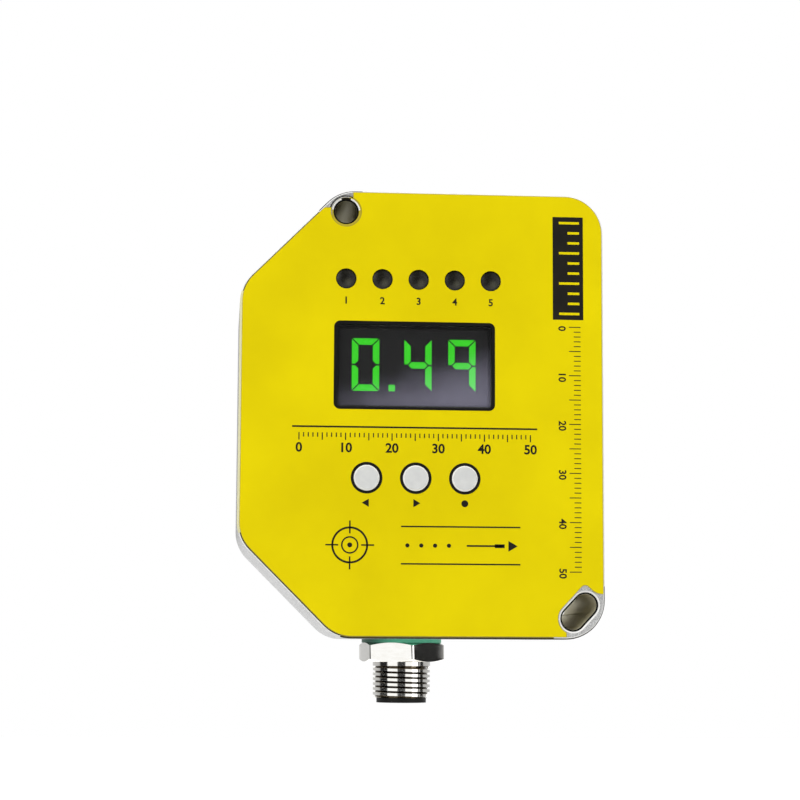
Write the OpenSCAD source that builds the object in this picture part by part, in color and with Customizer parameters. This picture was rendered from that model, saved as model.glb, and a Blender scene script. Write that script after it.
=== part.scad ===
/* [Body] */
// Width of the housing
body_w = 74.5; // [70:0.5:80]
// Height of the housing without its connector
body_h = 91.15; // [88:0.05:98]
// Depth of the housing from its front face to its mounting face
body_d = 39; // [37:0.5:42]
// Leg of the 45 degree corner at the upper left
upper_leg = 20; // [17:0.5:22]
// Leg of the 45 degree corner at the lower left
lower_leg = 19.75; // [17:0.25:22]
// Radius where two sides of the housing meet
corner_r = 8; // [6:0.5:9]
// Width of the bevel along the front edge of the housing
edge_break = 0.45; // [0.3:0.05:0.7]
// Depth of the bevel along the front edge of the housing
edge_deep = 1; // [0.5:0.1:1.6]
// Thickness of the front wall
front_wall = 3; // [2.6:0.1:3.6]
// Radius of the corners inside the housing
inner_r = 3; // [2:0.25:3.5]

/* [Mounting] */
// Mounting hole, distance from the left side
hole_from_left = 21.4; // [20.5:0.1:22.5]
// Mounting hole, distance below the top side
hole_from_top = 4.45; // [4.2:0.05:5]
// Radius of the mounting hole, and of the slot ends at the front
hole_r = 2.25; // [2.2:0.05:2.6]
// Solid wall kept behind the hole and the slot
boss_wall = 2.3; // [1.8:0.1:2.8]
// Slot centre, distance from the right side
slot_from_right = 5.35; // [5.1:0.05:6]
// Slot centre, distance above the bottom side
slot_from_bottom = 5.55; // [5.1:0.05:6]
// Distance between the centres of the two slot ends
slot_span = 3.75; // [3:0.25:4.5]
// Radius of the slot ends at the rear, where the casting core was narrower
slot_rear_r = 2.15; // [2.05:0.05:2.2]
// Angle of the slot above the horizontal
slot_angle = 47; // [42:1:50]
// Bevel round the mouth of the hole and the slot
mouth_break = 0.65; // [0.3:0.05:0.7]
// Bare metal left between the slot or hole and the label
pad_margin = 0.85; // [0.75:0.05:1]
// Width of the shallow groove round the mounting hole
groove_w = 0.25; // [0.2:0.05:0.35]
// Depth of the shallow groove round the mounting hole
groove_d = 0.3; // [0.2:0.05:0.5]

/* [Front label] */
// Thickness of the label film
label_t = 0.25; // [0.15:0.05:0.4]
// Width of the opening in the label beside the mounting hole
label_open_x = 1.4; // [1:0.1:2]
// Height of the opening in the label above the mounting hole
label_open_z = 0.75; // [0.5:0.05:1.2]
// Radius of the cut corner beside the slot
label_notch_r = 1; // [0.6:0.1:1.6]
// Upright edge of the label below the slot, distance to the left of the slot centre
label_notch_left = 2.65; // [2.4:0.05:2.9]
// Level edge of the label beside the slot, distance above the slot centre
label_notch_up = 3.6; // [3.4:0.05:3.8]
// Radius where the level edge turns up round the slot
label_notch_turn = 3; // [1.5:0.25:3.5]

/* [Display] */
// Width of the window opening
window_w = 32.9; // [31.5:0.1:33.5]
// Height of the window opening
window_h = 18.1; // [17:0.1:19]
// Window centre, distance from the left side
window_from_left = 35.55; // [35:0.05:36]
// Window centre, distance below the top side
window_from_top = 36.05; // [35.5:0.05:36.5]
// Corner radius of the window opening
window_r = 1.3; // [0.8:0.1:1.8]
// Visible width of the black frame
frame_w = 0.55; // [0.4:0.05:0.8]
// Lip of the frame that the glass rests on
frame_lip = 0.6; // [0.4:0.1:0.8]
// Depth of the glass below the front face
glass_sunk = 0.7; // [0.4:0.1:0.9]
// Thickness of the display glass
glass_t = 1.3; // [1:0.1:1.5]
// Flange of the frame behind the front wall, width
flange_w = 1.5; // [1:0.1:1.8]
// Flange of the frame behind the front wall, thickness
flange_t = 1; // [0.6:0.1:1.4]
// Left edge of the first digit, distance from the left side
digit_1_from_left = 22.95; // [22.5:0.05:23.4]
// Left edge of the second digit, distance from the left side
digit_2_from_left = 33.7; // [33.2:0.05:34.2]
// Left edge of the third digit, distance from the left side
digit_3_from_left = 42.75; // [42.2:0.05:43.4]
// Top edge of the digits, distance below the top side
digit_from_top = 30.15; // [29.5:0.05:30.5]
// Width of one digit
digit_w = 5.6; // [5:0.1:5.9]
// Height of one digit
digit_h = 10.8; // [10:0.1:11.2]
// Width of one light bar of a digit
bar_w = 1.3; // [1:0.1:1.5]
// Gap between the first digit and the point
point_gap = 1.95; // [1.2:0.05:2.4]
// Gap between neighbouring light bars
bar_gap = 0.18; // [0.1:0.02:0.24]
// Depth of the light bars in the display module
bar_d = 0.5; // [0.3:0.1:1]
// Step of the light bars in front of the module
bar_proud = 0.05; // [0.02:0.01:0.1]

/* [Indicators] */
// Number of indicator lamps
lamp_count = 5; // [5:1:5]
// First lamp, distance from the left side
lamp_from_left = 21.5; // [21:0.1:22.5]
// Lamp row, distance below the top side
lamp_from_top = 18.35; // [17.5:0.05:19]
// Distance between two lamps
lamp_pitch = 7.4; // [6.8:0.1:7.6]
// Radius of a lamp lens at the front
lamp_r = 2.05; // [1.6:0.05:2.3]
// Rise of the domed lens face
lamp_dome = 0.35; // [0.2:0.05:0.5]
// Step of the dome's rim below the label's face
lamp_sunk = 0.3; // [0.1:0.05:0.5]
// Flange of a lens behind the front wall, width
lamp_flange_w = 0.75; // [0.5:0.05:0.9]
// Flange of a lens behind the front wall, thickness
lamp_flange_t = 1; // [0.6:0.1:1.4]
// Radius of the light guide behind the flange
guide_r = 1.5; // [1:0.1:1.8]
// Length, width and height of one lamp chip
chip = [3.2, 2.8, 1.2]; // [1:0.1:3.6]

/* [Buttons] */
// First button, distance from the left side
button_from_left = 25.9; // [25:0.1:27]
// Button row, distance below the top side
button_from_top = 58.95; // [58:0.05:61]
// Distance between two buttons
button_pitch = 9.95; // [9.4:0.05:10.4]
// Radius of a button cap
button_r = 2.6; // [2.2:0.05:2.75]
// Wall of the black guide ring round a cap
ring_wall = 0.5; // [0.4:0.05:0.7]
// Flange of the guide ring behind the front wall, width
ring_flange_w = 0.85; // [0.6:0.05:1.1]
// Flange of the guide ring behind the front wall, thickness
ring_flange_t = 0.8; // [0.5:0.1:1.2]
// Step of the cap in front of the label
button_proud = 0.3; // [0.1:0.05:0.6]
// Bevel of the cap's front rim
button_break = 0.3; // [0.1:0.05:0.4]
// Radius of the collar that keeps the cap in
collar_r = 3.1; // [2.95:0.05:3.4]
// Thickness of the collar
collar_t = 1; // [0.6:0.1:1.2]
// Travel of a button
button_travel = 0.4; // [0.2:0.05:0.5]
// Radius of the stem behind the cap
stem_r = 1.2; // [1.05:0.05:1.5]
// Radius of the switch plunger
plunger_r = 1; // [0.8:0.05:1.1]
// Length of plunger outside the switch case
plunger_out = 0.8; // [0.6:0.1:1]
// Length of plunger inside the switch case
plunger_in = 1.5; // [1:0.1:1.8]
// Width of a switch case
switch_w = 6; // [5:0.1:6.4]
// Height of a switch case above its board
switch_h = 3.6; // [3.2:0.1:3.8]

/* [Boards] */
// Thickness of the circuit boards
board_t = 1.6; // [1.2:0.1:1.8]
// Display board, distance behind the front face
display_board_d = 11; // [10.6:0.1:11.5]
// Main board, distance behind the display board
board_space = 9.4; // [8:0.1:10]
// Space between the boards and the receiver board
board_side_gap = 0.8; // [0.5:0.1:1.4]
// Lower edge of the boards, distance above the bottom side
board_from_bottom = 15; // [14:0.5:16]
// Space between the boards and the housing wall
board_gap = 1; // [0.6:0.1:1.4]
// Radius of the pillars that carry the display board
pillar_r = 2.5; // [2.2:0.1:2.7]
// Axes of the pillars, distance from the edges of the boards
pillar_in = 4; // [3.6:0.1:4.4]
// Space between the upper left pillar and the flange of the display frame
pillar_gap = 1.5; // [1:0.1:2]
// Width across flats of the board spacers
spacer_af = 4.5; // [4:0.1:4.8]
// Radius of the spacer studs and the board screws
stud_r = 1.25; // [1:0.05:1.4]
// Length of the studs and the board screws
stud_l = 5; // [3.5:0.5:6]
// Radius of a board screw head
board_head_r = 2.3; // [2:0.1:2.6]
// Height of a board screw head
board_head_h = 1.6; // [1.2:0.1:2]
// Width and height of the header between the boards
header_size = [20, 3]; // [2:0.5:24]
// Width, height and thickness of the processor
processor = [12, 12, 1.4]; // [1:0.2:14]
// Processor centre, to the right of the window centre and above it
processor_off = [4, -6]; // [-8:0.5:8]
// Width, height and thickness of the output driver
driver = [9, 6, 1.6]; // [1:0.2:10]
// Driver centre, to the right of the window centre and above it
driver_off = [-10, 8]; // [-12:0.5:12]
// Width, height and thickness of the memory
memory = [7, 5, 1.2]; // [1:0.2:8]
// Memory centre, to the right of the window centre and above it
memory_off = [6, 12]; // [-8:0.5:14]
// Radius of a capacitor can
capacitor_r = 3; // [2.4:0.1:3.2]
// Height of a capacitor can
capacitor_h = 5; // [3.5:0.1:5.4]
// Half the distance between the two capacitors
capacitor_half = 7; // [4:0.5:9]
// Capacitors, distance below the window centre
capacitor_down = 20; // [18:0.5:22]

/* [Rear cover] */
// Thickness of the rear cover
cover_t = 2.5; // [2.2:0.1:3]
// Housing wall outside the rear cover
rim_wall = 1.8; // [1.5:0.1:2]
// Width of the ledge that the gasket lies on
ledge_w = 2.2; // [1.8:0.1:2.4]
// Thickness of the gasket under the cover
gasket_t = 0.8; // [0.5:0.1:1.2]
// Gap between the cover and the housing
cover_gap = 0.1; // [0.05:0.05:0.2]
// Corner radius of the cover
cover_r = 4; // [3:0.25:5]
// Radius of the cover screws
screw_r = 1.5; // [1.2:0.1:1.6]
// Length of the cover screws behind their heads
screw_l = 8; // [6:0.5:10]
// Radius of a countersunk screw head
screw_head_r = 2.8; // [2.6:0.1:3]
// Wall of the screw bosses
screw_boss_wall = 1.7; // [1.5:0.1:2]
// Depth that the screw bosses are let into the straight walls
boss_sunk = 0.4; // [0.2:0.1:0.6]
// Depth that the screw bosses are let into the slanted walls
boss_sunk_slant = 1.1; // [0.8:0.1:1.4]
// Width across flats of the sockets in the screw heads
socket_af = 2; // [1.5:0.1:2.2]
// Depth of the sockets in the screw heads
socket_deep = 1; // [0.7:0.1:1.2]

/* [Optics] */
// Depth of the optics window, measured along the housing's depth
optics_w = 24; // [22:0.5:24.5]
// Height of the optics window
optics_h = 50; // [48:0.5:51]
// Optics window centre, distance behind the front face
optics_back = 17.5; // [17:0.1:18]
// Optics window centre, distance below the top side
optics_from_top = 41; // [40.5:0.1:41.5]
// Corner radius of the optics window
optics_r = 3; // [2:0.25:4]
// Thickness of the optics window
optics_t = 1.6; // [1.2:0.1:1.8]
// Thickness of the seal behind the optics window
optics_seal_t = 0.4; // [0.2:0.1:0.6]
// Lip that carries the optics window
optics_lip = 1.8; // [1.4:0.1:2.2]
// Space between the display module and the receiver board
optics_gap = 3.45; // [2:0.05:4]
// Width of the optics block
block_w = 23; // [22:0.5:23.5]
// Height of the optics block
block_h = 52; // [50:0.5:53]
// Radius of the receiving lens
receiver_r = 9.5; // [8:0.1:10]
// Rise of the receiving lens face
receiver_rise = 2; // [1.4:0.1:2.2]
// Edge thickness of the receiving lens
receiver_edge = 1.6; // [1.2:0.1:1.8]
// Depth of the seat that the receiving lens sits in
lens_seat = 4; // [3.8:0.1:4.4]
// Step that the receiving lens rests on
lens_step = 1; // [0.6:0.1:1.4]
// Receiving lens, distance above the window centre
receiver_up = 12.5; // [11.5:0.5:13]
// Laser barrel, distance below the window centre
laser_down = 14; // [12.5:0.5:16]
// Radius of the laser barrel
laser_r = 4.45; // [3.9:0.05:4.8]
// Length of the laser barrel
laser_l = 12; // [10:0.5:13]
// Laser barrel, distance behind the front of its bore
laser_sunk = 0.5; // [0.2:0.1:0.8]
// Radius of the collimating lens
collimator_r = 3.1; // [2.6:0.1:3.4]
// Thickness of the collimating lens
collimator_t = 2.4; // [2:0.1:2.6]
// Rise of the collimating lens face
collimator_rise = 0.8; // [0.5:0.1:1]
// Depth of the collimating lens seat
collimator_seat = 3; // [2.8:0.1:3.4]
// Radius of the laser diode can
diode_r = 2.8; // [2.4:0.1:3.2]
// Length of the laser diode can
diode_l = 2; // [1.5:0.1:2.4]
// Thickness of the receiver board
receiver_board_t = 1.2; // [1:0.1:1.4]
// Width and height of the receiver board
receiver_board = [20, 22]; // [17:0.5:23]
// Radius of the photodiode can
photodiode_r = 4.1; // [3:0.1:5]
// Height of the photodiode can
photodiode_h = 3; // [2:0.1:4]

/* [Connector] */
// Connector axis, distance from the left side
plug_from_left = 34.65; // [34.5:0.05:36]
// Connector axis, distance behind the front face
plug_back = 18; // [17.5:0.1:19]
// Radius of the gasket under the hexagon
plug_gasket_r = 8.3; // [8:0.1:9]
// Thickness of the gasket under the hexagon
plug_gasket_t = 0.75; // [0.6:0.05:1.2]
// Width across flats of the hexagon
hex_af = 16; // [16:0.5:17]
// Height of the hexagon
hex_h = 3.9; // [3.5:0.1:5]
// Turn of the hexagon about the connector axis
hex_turn = 10; // [0:1:30]
// Height of the corner bevels of the hexagon
hex_break = 0.6; // [0.4:0.1:0.8]
// Radius of the barrel that passes the housing wall
barrel_r = 7.4; // [7:0.1:7.6]
// Length of barrel above the locknut
barrel_out = 1.5; // [1:0.1:2]
// Height of the collar under the hexagon
neck_h = 0.9; // [0.6:0.1:1.2]
// Outer radius of the connector thread
thread_r = 5.95; // [5.8:0.05:6]
// Length of the connector thread
thread_l = 6.5; // [6:0.25:8]
// Bevel at the end of the thread
thread_break = 0.4; // [0.2:0.05:0.5]
// Radius of the plastic insert
insert_r = 5.15; // [5:0.05:5.25]
// Step of the insert below the thread
insert_proud = 1; // [0.6:0.1:1.4]
// Wall of the insert round its socket
insert_wall = 0.85; // [0.7:0.05:1]
// Depth of the socket in the insert
socket_d = 8.3; // [7:0.1:9]
// Width of the coding rib in the socket
key_w = 1.2; // [0.8:0.1:1.6]
// Height of the coding rib in the socket
key_h = 0.7; // [0.4:0.1:0.8]
// Radius of a contact pin
pin_r = 0.5; // [0.4:0.05:0.55]
// Radius of the circle that the contact pins stand on
pin_circle = 2.6; // [2.4:0.1:2.8]
// Number of contact pins on the circle
pin_count = 4; // [4:1:4]
// Distance of the pin tips inside the rim
pin_sunk = 1.4; // [1:0.1:2]
// Length of the pin tails above the barrel
pin_tail = 2.5; // [2:0.1:3]
// Width across flats of the locknut
nut_af = 18; // [17:0.5:18]
// Thickness of the locknut
nut_t = 3; // [2.5:0.1:3.5]
// Radius of a lead wire
wire_r = 0.45; // [0.3:0.05:0.5]
// Middle lead wire, distance above the board's lower edge
pad_up = 5; // [4.5:0.5:7]
// Rise of a pad for each unit that its pin lies further forward
pad_step = 1.2; // [0.9:0.1:1.4]
// Bend radius of a lead wire
wire_bend = 1.1; // [1:0.05:1.3]

/* [Fits] */
// Radial gap of a sliding button cap or plunger
slide_gap = 0.06; // [0.03:0.01:0.09]
// Gap between pieces that are set in an opening
seat_gap = 0.05; // [0.02:0.01:0.1]
// Gap behind a piece that stops against another
stop_gap = 0.05; // [0.02:0.01:0.1]
// Gap round a screw or stud in a clearance hole
screw_gap = 0.15; // [0.05:0.05:0.2]

/* [Hidden] */
$fn = 64;
DIAGONAL = sqrt(2);
// Flats lie this far inside the arcs that they run into, so that the two always meet in one edge
flat_in = 0.001;

// The origin is where the mounting hole meets the rear face
left_x = -hole_from_left;
right_x = left_x + body_w;
top_z = hole_from_top;
bottom_z = top_z - body_h;
front_y = -body_d;

slot_x = right_x - slot_from_right;
slot_z = bottom_z + slot_from_bottom;
pad_r = hole_r + pad_margin;
pad_half = slot_span / 2 + pad_r;
slot_boss_r = hole_r + boss_wall;

window_x = left_x + window_from_left;
window_z = top_z - window_from_top;
frame_out = [window_w, window_h] - 2 * pair(seat_gap);
frame_open = frame_out - 2 * pair(frame_w);
frame_back = frame_open - 2 * pair(frame_lip);
frame_flange = frame_out + 2 * pair(flange_w);
module_size = frame_flange - 2 * pair(flange_w + frame_w + seat_gap);
glass_size = frame_open - 2 * pair(seat_gap);
digit_x = [left_x + digit_1_from_left, left_x + digit_2_from_left, left_x + digit_3_from_left];
digit_z = top_z - digit_from_top - digit_h;
// The bars that light for each digit of the reading shown
LIT = ["abcdef", "bcfg", "abcfg"];
BARS = "abcdefg";

lamp_x = [for (i = [0:lamp_count - 1]) left_x + lamp_from_left + i * lamp_pitch];
lamp_z = top_z - lamp_from_top;
lamp_hole_r = lamp_r + seat_gap;
lamp_flange_r = lamp_r + lamp_flange_w;

button_x = [for (i = [0:2]) left_x + button_from_left + i * button_pitch];
button_z = top_z - button_from_top;
ring_in_r = button_r + slide_gap;
ring_out_r = ring_in_r + ring_wall;
ring_hole_r = ring_out_r + seat_gap;
ring_flange_r = ring_out_r + ring_flange_w;
switch_d = display_board_d - switch_h;
ring_back_d = front_wall + ring_flange_t;
plunger_well = plunger_in + button_travel + stop_gap;

main_board_d = display_board_d + board_t + board_space;
processor_at = [window_x, window_z] + processor_off;
driver_at = [window_x, window_z] + driver_off;
memory_at = [window_x, window_z] + memory_off;
capacitor_at = [window_x, window_z - capacitor_down];
block_x = window_x + module_size[0] / 2 + optics_gap + receiver_board_t;
board_right = block_x - receiver_board_t - board_side_gap;
board_low = bottom_z + board_from_bottom;
spacer_r = spacer_af / 2 / cos(30);

// Slanted lines are given by the sum of their two legs from a corner of the body
wall_in = rim_wall + ledge_w;
cover_legs = [
    hole_from_left + hole_from_top + (slot_boss_r + cover_gap) * DIAGONAL - rim_wall * DIAGONAL,
    lower_leg,
    slot_from_right + slot_from_bottom + (slot_boss_r + cover_gap) * DIAGONAL - rim_wall * DIAGONAL
];
body_legs = [upper_leg, lower_leg, 0];
screw_boss_r = screw_r + screw_boss_wall;
screw_edge = wall_in + screw_boss_r - boss_sunk;
screw_in = wall_in + screw_boss_r - boss_sunk_slant;
screw_line = [for (leg = cover_legs) leg + screw_in * DIAGONAL - screw_edge];
screw_xz = [
    [left_x + screw_line[0], top_z - screw_edge],
    [right_x - screw_edge, top_z - screw_edge],
    [right_x - screw_edge, bottom_z + screw_line[2]],
    [right_x - screw_line[2], bottom_z + screw_edge],
    [left_x + screw_line[1], bottom_z + screw_edge],
    [left_x + screw_edge, top_z - screw_line[0]]
];
screw_head_h = screw_head_r - screw_r;
pillar_line = wall_in + board_gap + pillar_in;
pillar_x = window_x - frame_flange[0] / 2 - pillar_gap - pillar_r;
pillar_xz = [
    [pillar_x, top_z - cover_legs[0] - pillar_line * DIAGONAL + pillar_x - left_x],
    [board_right - pillar_in, top_z - pillar_line],
    outline(cover_legs, pillar_line)[1],
    [board_right - pillar_in, board_low + pillar_in]
];

optics_y = front_y + optics_back;
optics_z = top_z - optics_from_top;
optics_open = [optics_w, optics_h] - 2 * pair(optics_lip);
optics_pane = [optics_w, optics_h] - 2 * pair(seat_gap);
inner_right = right_x - wall_in;
receiver_z = optics_z + receiver_up;
laser_z = optics_z - laser_down;
laser_x = inner_right - laser_sunk - laser_l;

plug_x = left_x + plug_from_left;
plug_y = front_y + plug_back;
hex_top = bottom_z - plug_gasket_t;
hex_low = hex_top - hex_h;
thread_top = hex_low - neck_h;
thread_low = thread_top - thread_l;
insert_low = thread_low - insert_proud;
floor_z = bottom_z + wall_in;
nut_top = floor_z + nut_t;
barrel_top = nut_top + barrel_out;
pin_xy = concat([[0, 0]], [for (i = [0:pin_count - 1])
    pin_circle * [cos(45 + 90 * i), sin(45 + 90 * i)]]);

function unit(v) = v / norm(v);
function pair(v) = [v, v];

// Corners of the housing form, anticlockwise from the upper left, drawn in by one distance
function outline(legs, inset) =
    let (cut = [for (leg = legs) leg + inset * (DIAGONAL - 1)])
    concat(
        [[left_x + inset, top_z - cut[0]], [left_x + inset, bottom_z + cut[1]],
         [left_x + cut[1], bottom_z + inset]],
        legs[2] > 0
            ? [[right_x - cut[2], bottom_z + inset], [right_x - inset, bottom_z + cut[2]]]
            : [[right_x - inset, bottom_z + inset]],
        [[right_x - inset, top_z - inset], [left_x + cut[0], top_z - inset]]
    );

function box_corners(size) =
    [[-size[0], -size[1]], [size[0], -size[1]], [size[0], size[1]], [-size[0], size[1]]] / 2;

// A rounded corner: the directions to both neighbours, its tangent points and its centre
function back_way(p, i) = unit(p[(i + len(p) - 1) % len(p)] - p[i]);
function next_way(p, i) = unit(p[(i + 1) % len(p)] - p[i]);
function half_angle(p, i) = acos(back_way(p, i) * next_way(p, i)) / 2;
function reach(p, r, i) = r / tan(half_angle(p, i));
function arc_centre(p, r, i) =
    p[i] + unit(back_way(p, i) + next_way(p, i)) * r / sin(half_angle(p, i));
function from_centre(p, r, i, way) =
    let (c = arc_centre(p, r, i), tangent = p[i] + way * reach(p, r, i))
    c + unit(tangent - c) * (r - flat_in);
function start_point(p, r, i) = from_centre(p, r, i, back_way(p, i));
function end_point(p, r, i) = from_centre(p, r, i, next_way(p, i));

module rounded(p, r) {
    polygon([for (i = [0:len(p) - 1]) each [start_point(p, r, i), end_point(p, r, i)]]);
    for (i = [0:len(p) - 1])
        translate(arc_centre(p, r, i)) circle(r);
}

module rounded_box(size, r) {
    rounded(box_corners(size), r);
}

// Forms drawn on the front view, made solid between two depths behind the front face
module layer(near, far) {
    translate([0, front_y + far, 0])
        rotate([90, 0, 0])
            linear_extrude(far - near)
                children();
}

// A round bar or cone along the depth, at a place on the front view
module bar(at, near, far, r, r_near = undef) {
    translate([at[0], front_y + far, at[1]])
        rotate([90, 0, 0])
            cylinder(h = far - near, r1 = r, r2 = is_undef(r_near) ? r : r_near);
}

// Forms drawn on the right view, made solid between two widths
module side_layer(x0, x1) {
    translate([x0, 0, 0])
        rotate([90, 0, 90])
            linear_extrude(x1 - x0)
                children();
}

// A round bar along the width, at a height on the optics axis
module side_bar(z, x0, x1, r) {
    translate([x0, optics_y, z])
        rotate([0, 90, 0])
            cylinder(h = x1 - x0, r = r);
}

module on_slot() {
    translate([slot_x, slot_z])
        rotate(slot_angle)
            children();
}

module slot_form(r) {
    on_slot() {
        for (side = [-1, 1])
            translate([side * slot_span / 2, 0]) circle(r);
        square([slot_span, 2 * (r - flat_in)], center = true);
    }
}

// Section of what the bevel takes off, for a side face that lies at a radius
module bevel_section(r) {
    translate([r, 0])
        polygon([[-2 * edge_break, edge_deep], [edge_break, -2 * edge_deep], [edge_break, edge_deep]]);
}

// What the front bevel takes off: turned round each corner, then drawn along the side after it
module front_bevel(p, r) {
    spare = acos(1 - flat_in / r) / 2;
    for (i = [0:len(p) - 1]) {
        c = arc_centre(p, r, i);
        a = start_point(p, r, i) - c;
        b = end_point(p, r, i) - c;
        turn = acos(unit(a) * unit(b));
        side = norm(arc_centre(p, r, (i + 1) % len(p)) - c);
        translate([c[0], front_y, c[1]])
            rotate([90, -atan2(b[1], b[0]), 0]) {
                rotate(-turn - spare)
                    rotate_extrude(angle = turn + 2 * spare)
                        bevel_section(r);
                translate([0, side + r, 0])
                    rotate([90, 0, 0])
                        linear_extrude(side + 2 * r)
                            bevel_section(r - flat_in);
            }
    }
}

module housing_block() {
    p = outline(body_legs, 0);
    difference() {
        layer(0, body_d) rounded(p, corner_r);
        front_bevel(p, corner_r);
    }
}

module cover_form(inset, r) {
    rounded(outline(cover_legs, rim_wall + inset), r);
}

module cavity_form() {
    difference() {
        cover_form(ledge_w, inner_r);
        for (at = screw_xz)
            translate(at) circle(screw_boss_r);
    }
}

// Cone that bevels the mouth of a hole
module mouth_cone() {
    rotate([90, 0, 0])
        translate([0, 0, -2 * mouth_break])
            cylinder(h = 3 * mouth_break, r1 = hole_r - mouth_break, r2 = hole_r + 2 * mouth_break);
}

// The tapered core of the slot: a cone at each end and flat sides that run into both
module slot_core() {
    front = hole_r - flat_in;
    rear = slot_rear_r - flat_in;
    for (side = [-1, 1])
        bar([slot_x, slot_z] + side * slot_span / 2 * [cos(slot_angle), sin(slot_angle)],
            0, body_d, slot_rear_r, hole_r);
    translate([slot_x, front_y, slot_z])
        rotate([0, -slot_angle, 0])
            translate([-slot_span / 2, 0, 0])
                rotate([90, 0, 90])
                    linear_extrude(slot_span)
                        polygon([[0, -front], [0, front], [body_d, rear], [body_d, -rear]]);
}

module slot_mouth() {
    narrow = hole_r - flat_in - mouth_break;
    wide = hole_r - flat_in + 2 * mouth_break;
    translate([slot_x, front_y, slot_z])
        rotate([0, -slot_angle, 0]) {
            for (side = [-1, 1])
                translate([side * slot_span / 2, 0, 0]) mouth_cone();
            translate([-slot_span / 2, 0, 0])
                rotate([90, 0, 90])
                    linear_extrude(slot_span)
                        polygon([[-mouth_break, -wide], [-mouth_break, wide],
                                 [2 * mouth_break, narrow], [2 * mouth_break, -narrow]]);
        }
}

module window_form(size, r) {
    translate([window_x, window_z]) rounded_box(size, r);
}

module optics_form(size, r) {
    translate([optics_y, optics_z]) rounded_box(size, r);
}

module hole_groove() {
    layer(0, groove_d)
        intersection() {
            difference() {
                circle(pad_r + groove_w);
                circle(pad_r);
            }
            translate([label_open_x - 2 * pad_r, label_open_z]) square(2 * pad_r);
        }
}

module housing() {
    color("gainsboro")
    difference() {
        union() {
            difference() {
                housing_block();
                layer(front_wall, body_d - cover_t - gasket_t) cavity_form();
                layer(body_d - cover_t - gasket_t, body_d) cover_form(0, cover_r);
            }
            for (at = pillar_xz)
                bar(at, front_wall, display_board_d, pillar_r);
        }
        bar([0, 0], 0, body_d, hole_r);
        translate([0, front_y, 0]) mouth_cone();
        slot_core();
        slot_mouth();
        hole_groove();
        layer(0, front_wall) window_form([window_w, window_h], window_r);
        for (x = lamp_x)
            bar([x, lamp_z], 0, front_wall, lamp_hole_r);
        for (x = button_x)
            bar([x, button_z], 0, front_wall, ring_hole_r);
        for (at = pillar_xz)
            bar(at, display_board_d - stud_l, display_board_d, stud_r);
        for (at = screw_xz)
            bar(at, body_d - screw_head_h - screw_l, body_d - cover_t - gasket_t, screw_r);
        side_layer(right_x - optics_t - optics_seal_t, right_x)
            optics_form([optics_w, optics_h], optics_r);
        side_layer(inner_right, right_x) optics_form(optics_open, optics_r - optics_lip / 2);
        translate([plug_x, plug_y, bottom_z]) cylinder(h = wall_in, r = barrel_r);
    }
}

// The label leaves the slot free and ends early beside it, towards the corner of the housing
module label_notch() {
    end = [(pad_half - label_notch_up * sin(slot_angle)) / cos(slot_angle), label_notch_up];
    turn_l = label_notch_turn * tan((90 - slot_angle) / 2);
    level = end + [turn_l, 0];
    up = end + turn_l * [-sin(slot_angle), cos(slot_angle)];
    slot_form(pad_r);
    on_slot() {
        translate([pad_half - label_notch_r, pad_r - label_notch_r]) circle(label_notch_r);
        translate([0, -pad_r]) square([pad_half, 2 * pad_r - label_notch_r]);
        square([pad_half - label_notch_r, pad_r]);
    }
    intersection() {
        on_slot()
            translate([-body_w, -2 * body_w]) square(2 * body_w);
        translate([slot_x - label_notch_left, slot_z + label_notch_up - body_w]) square(body_w);
    }
    translate([slot_x, slot_z])
        difference() {
            polygon([end, level, up]);
            translate(level + [0, label_notch_turn]) circle(label_notch_turn + flat_in);
        }
}

// The label is cut away round the mounting hole and towards its corner
module label_cuts() {
    circle(pad_r);
    translate([label_open_x - body_w, label_open_z]) square(body_w);
    label_notch();
    window_form([window_w, window_h], window_r);
    for (x = lamp_x)
        translate([x, lamp_z]) circle(lamp_hole_r);
    for (x = button_x)
        translate([x, button_z]) circle(ring_hole_r);
}

module front_label() {
    color("gold")
    layer(-label_t, 0)
        difference() {
            rounded(outline(body_legs, edge_break), corner_r - edge_break);
            label_cuts();
        }
}

module rear_cover() {
    color("silver")
    difference() {
        layer(body_d - cover_t, body_d) cover_form(cover_gap, cover_r - cover_gap);
        for (at = screw_xz) {
            bar(at, body_d - cover_t, body_d, screw_r + screw_gap);
            bar(at, body_d - screw_head_h, body_d, screw_head_r, screw_r);
        }
    }
}

module rear_gasket() {
    color("dimgray")
    layer(body_d - cover_t - gasket_t, body_d - cover_t)
        difference() {
            cover_form(cover_gap, cover_r - cover_gap);
            cavity_form();
            for (at = screw_xz)
                translate(at) circle(screw_r + screw_gap);
        }
}

module cover_screws() {
    color("lightgray")
    for (at = screw_xz)
        difference() {
            union() {
                bar(at, body_d - screw_head_h - screw_l, body_d - screw_head_h, screw_r);
                bar(at, body_d - screw_head_h, body_d, screw_head_r, screw_r);
            }
            layer(body_d - socket_deep, body_d)
                translate(at) circle(socket_af / 2 / cos(30), $fn = 6);
        }
}

module display_frame() {
    color("black")
    difference() {
        union() {
            layer(0, front_wall) window_form(frame_out, window_r - seat_gap);
            layer(front_wall, front_wall + flange_t) window_form(frame_flange, window_r);
        }
        layer(0, glass_sunk + glass_t) window_form(frame_open, window_r - frame_w);
        layer(glass_sunk + glass_t, front_wall) window_form(frame_back, window_r - frame_w);
        layer(front_wall, front_wall + flange_t)
            translate([window_x, window_z]) square(module_size + pair(2 * seat_gap), center = true);
    }
}

module display_window() {
    color("darkslategray", 0.6)
    layer(glass_sunk, glass_sunk + glass_t)
        window_form(glass_size, window_r - frame_w - seat_gap);
}

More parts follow.
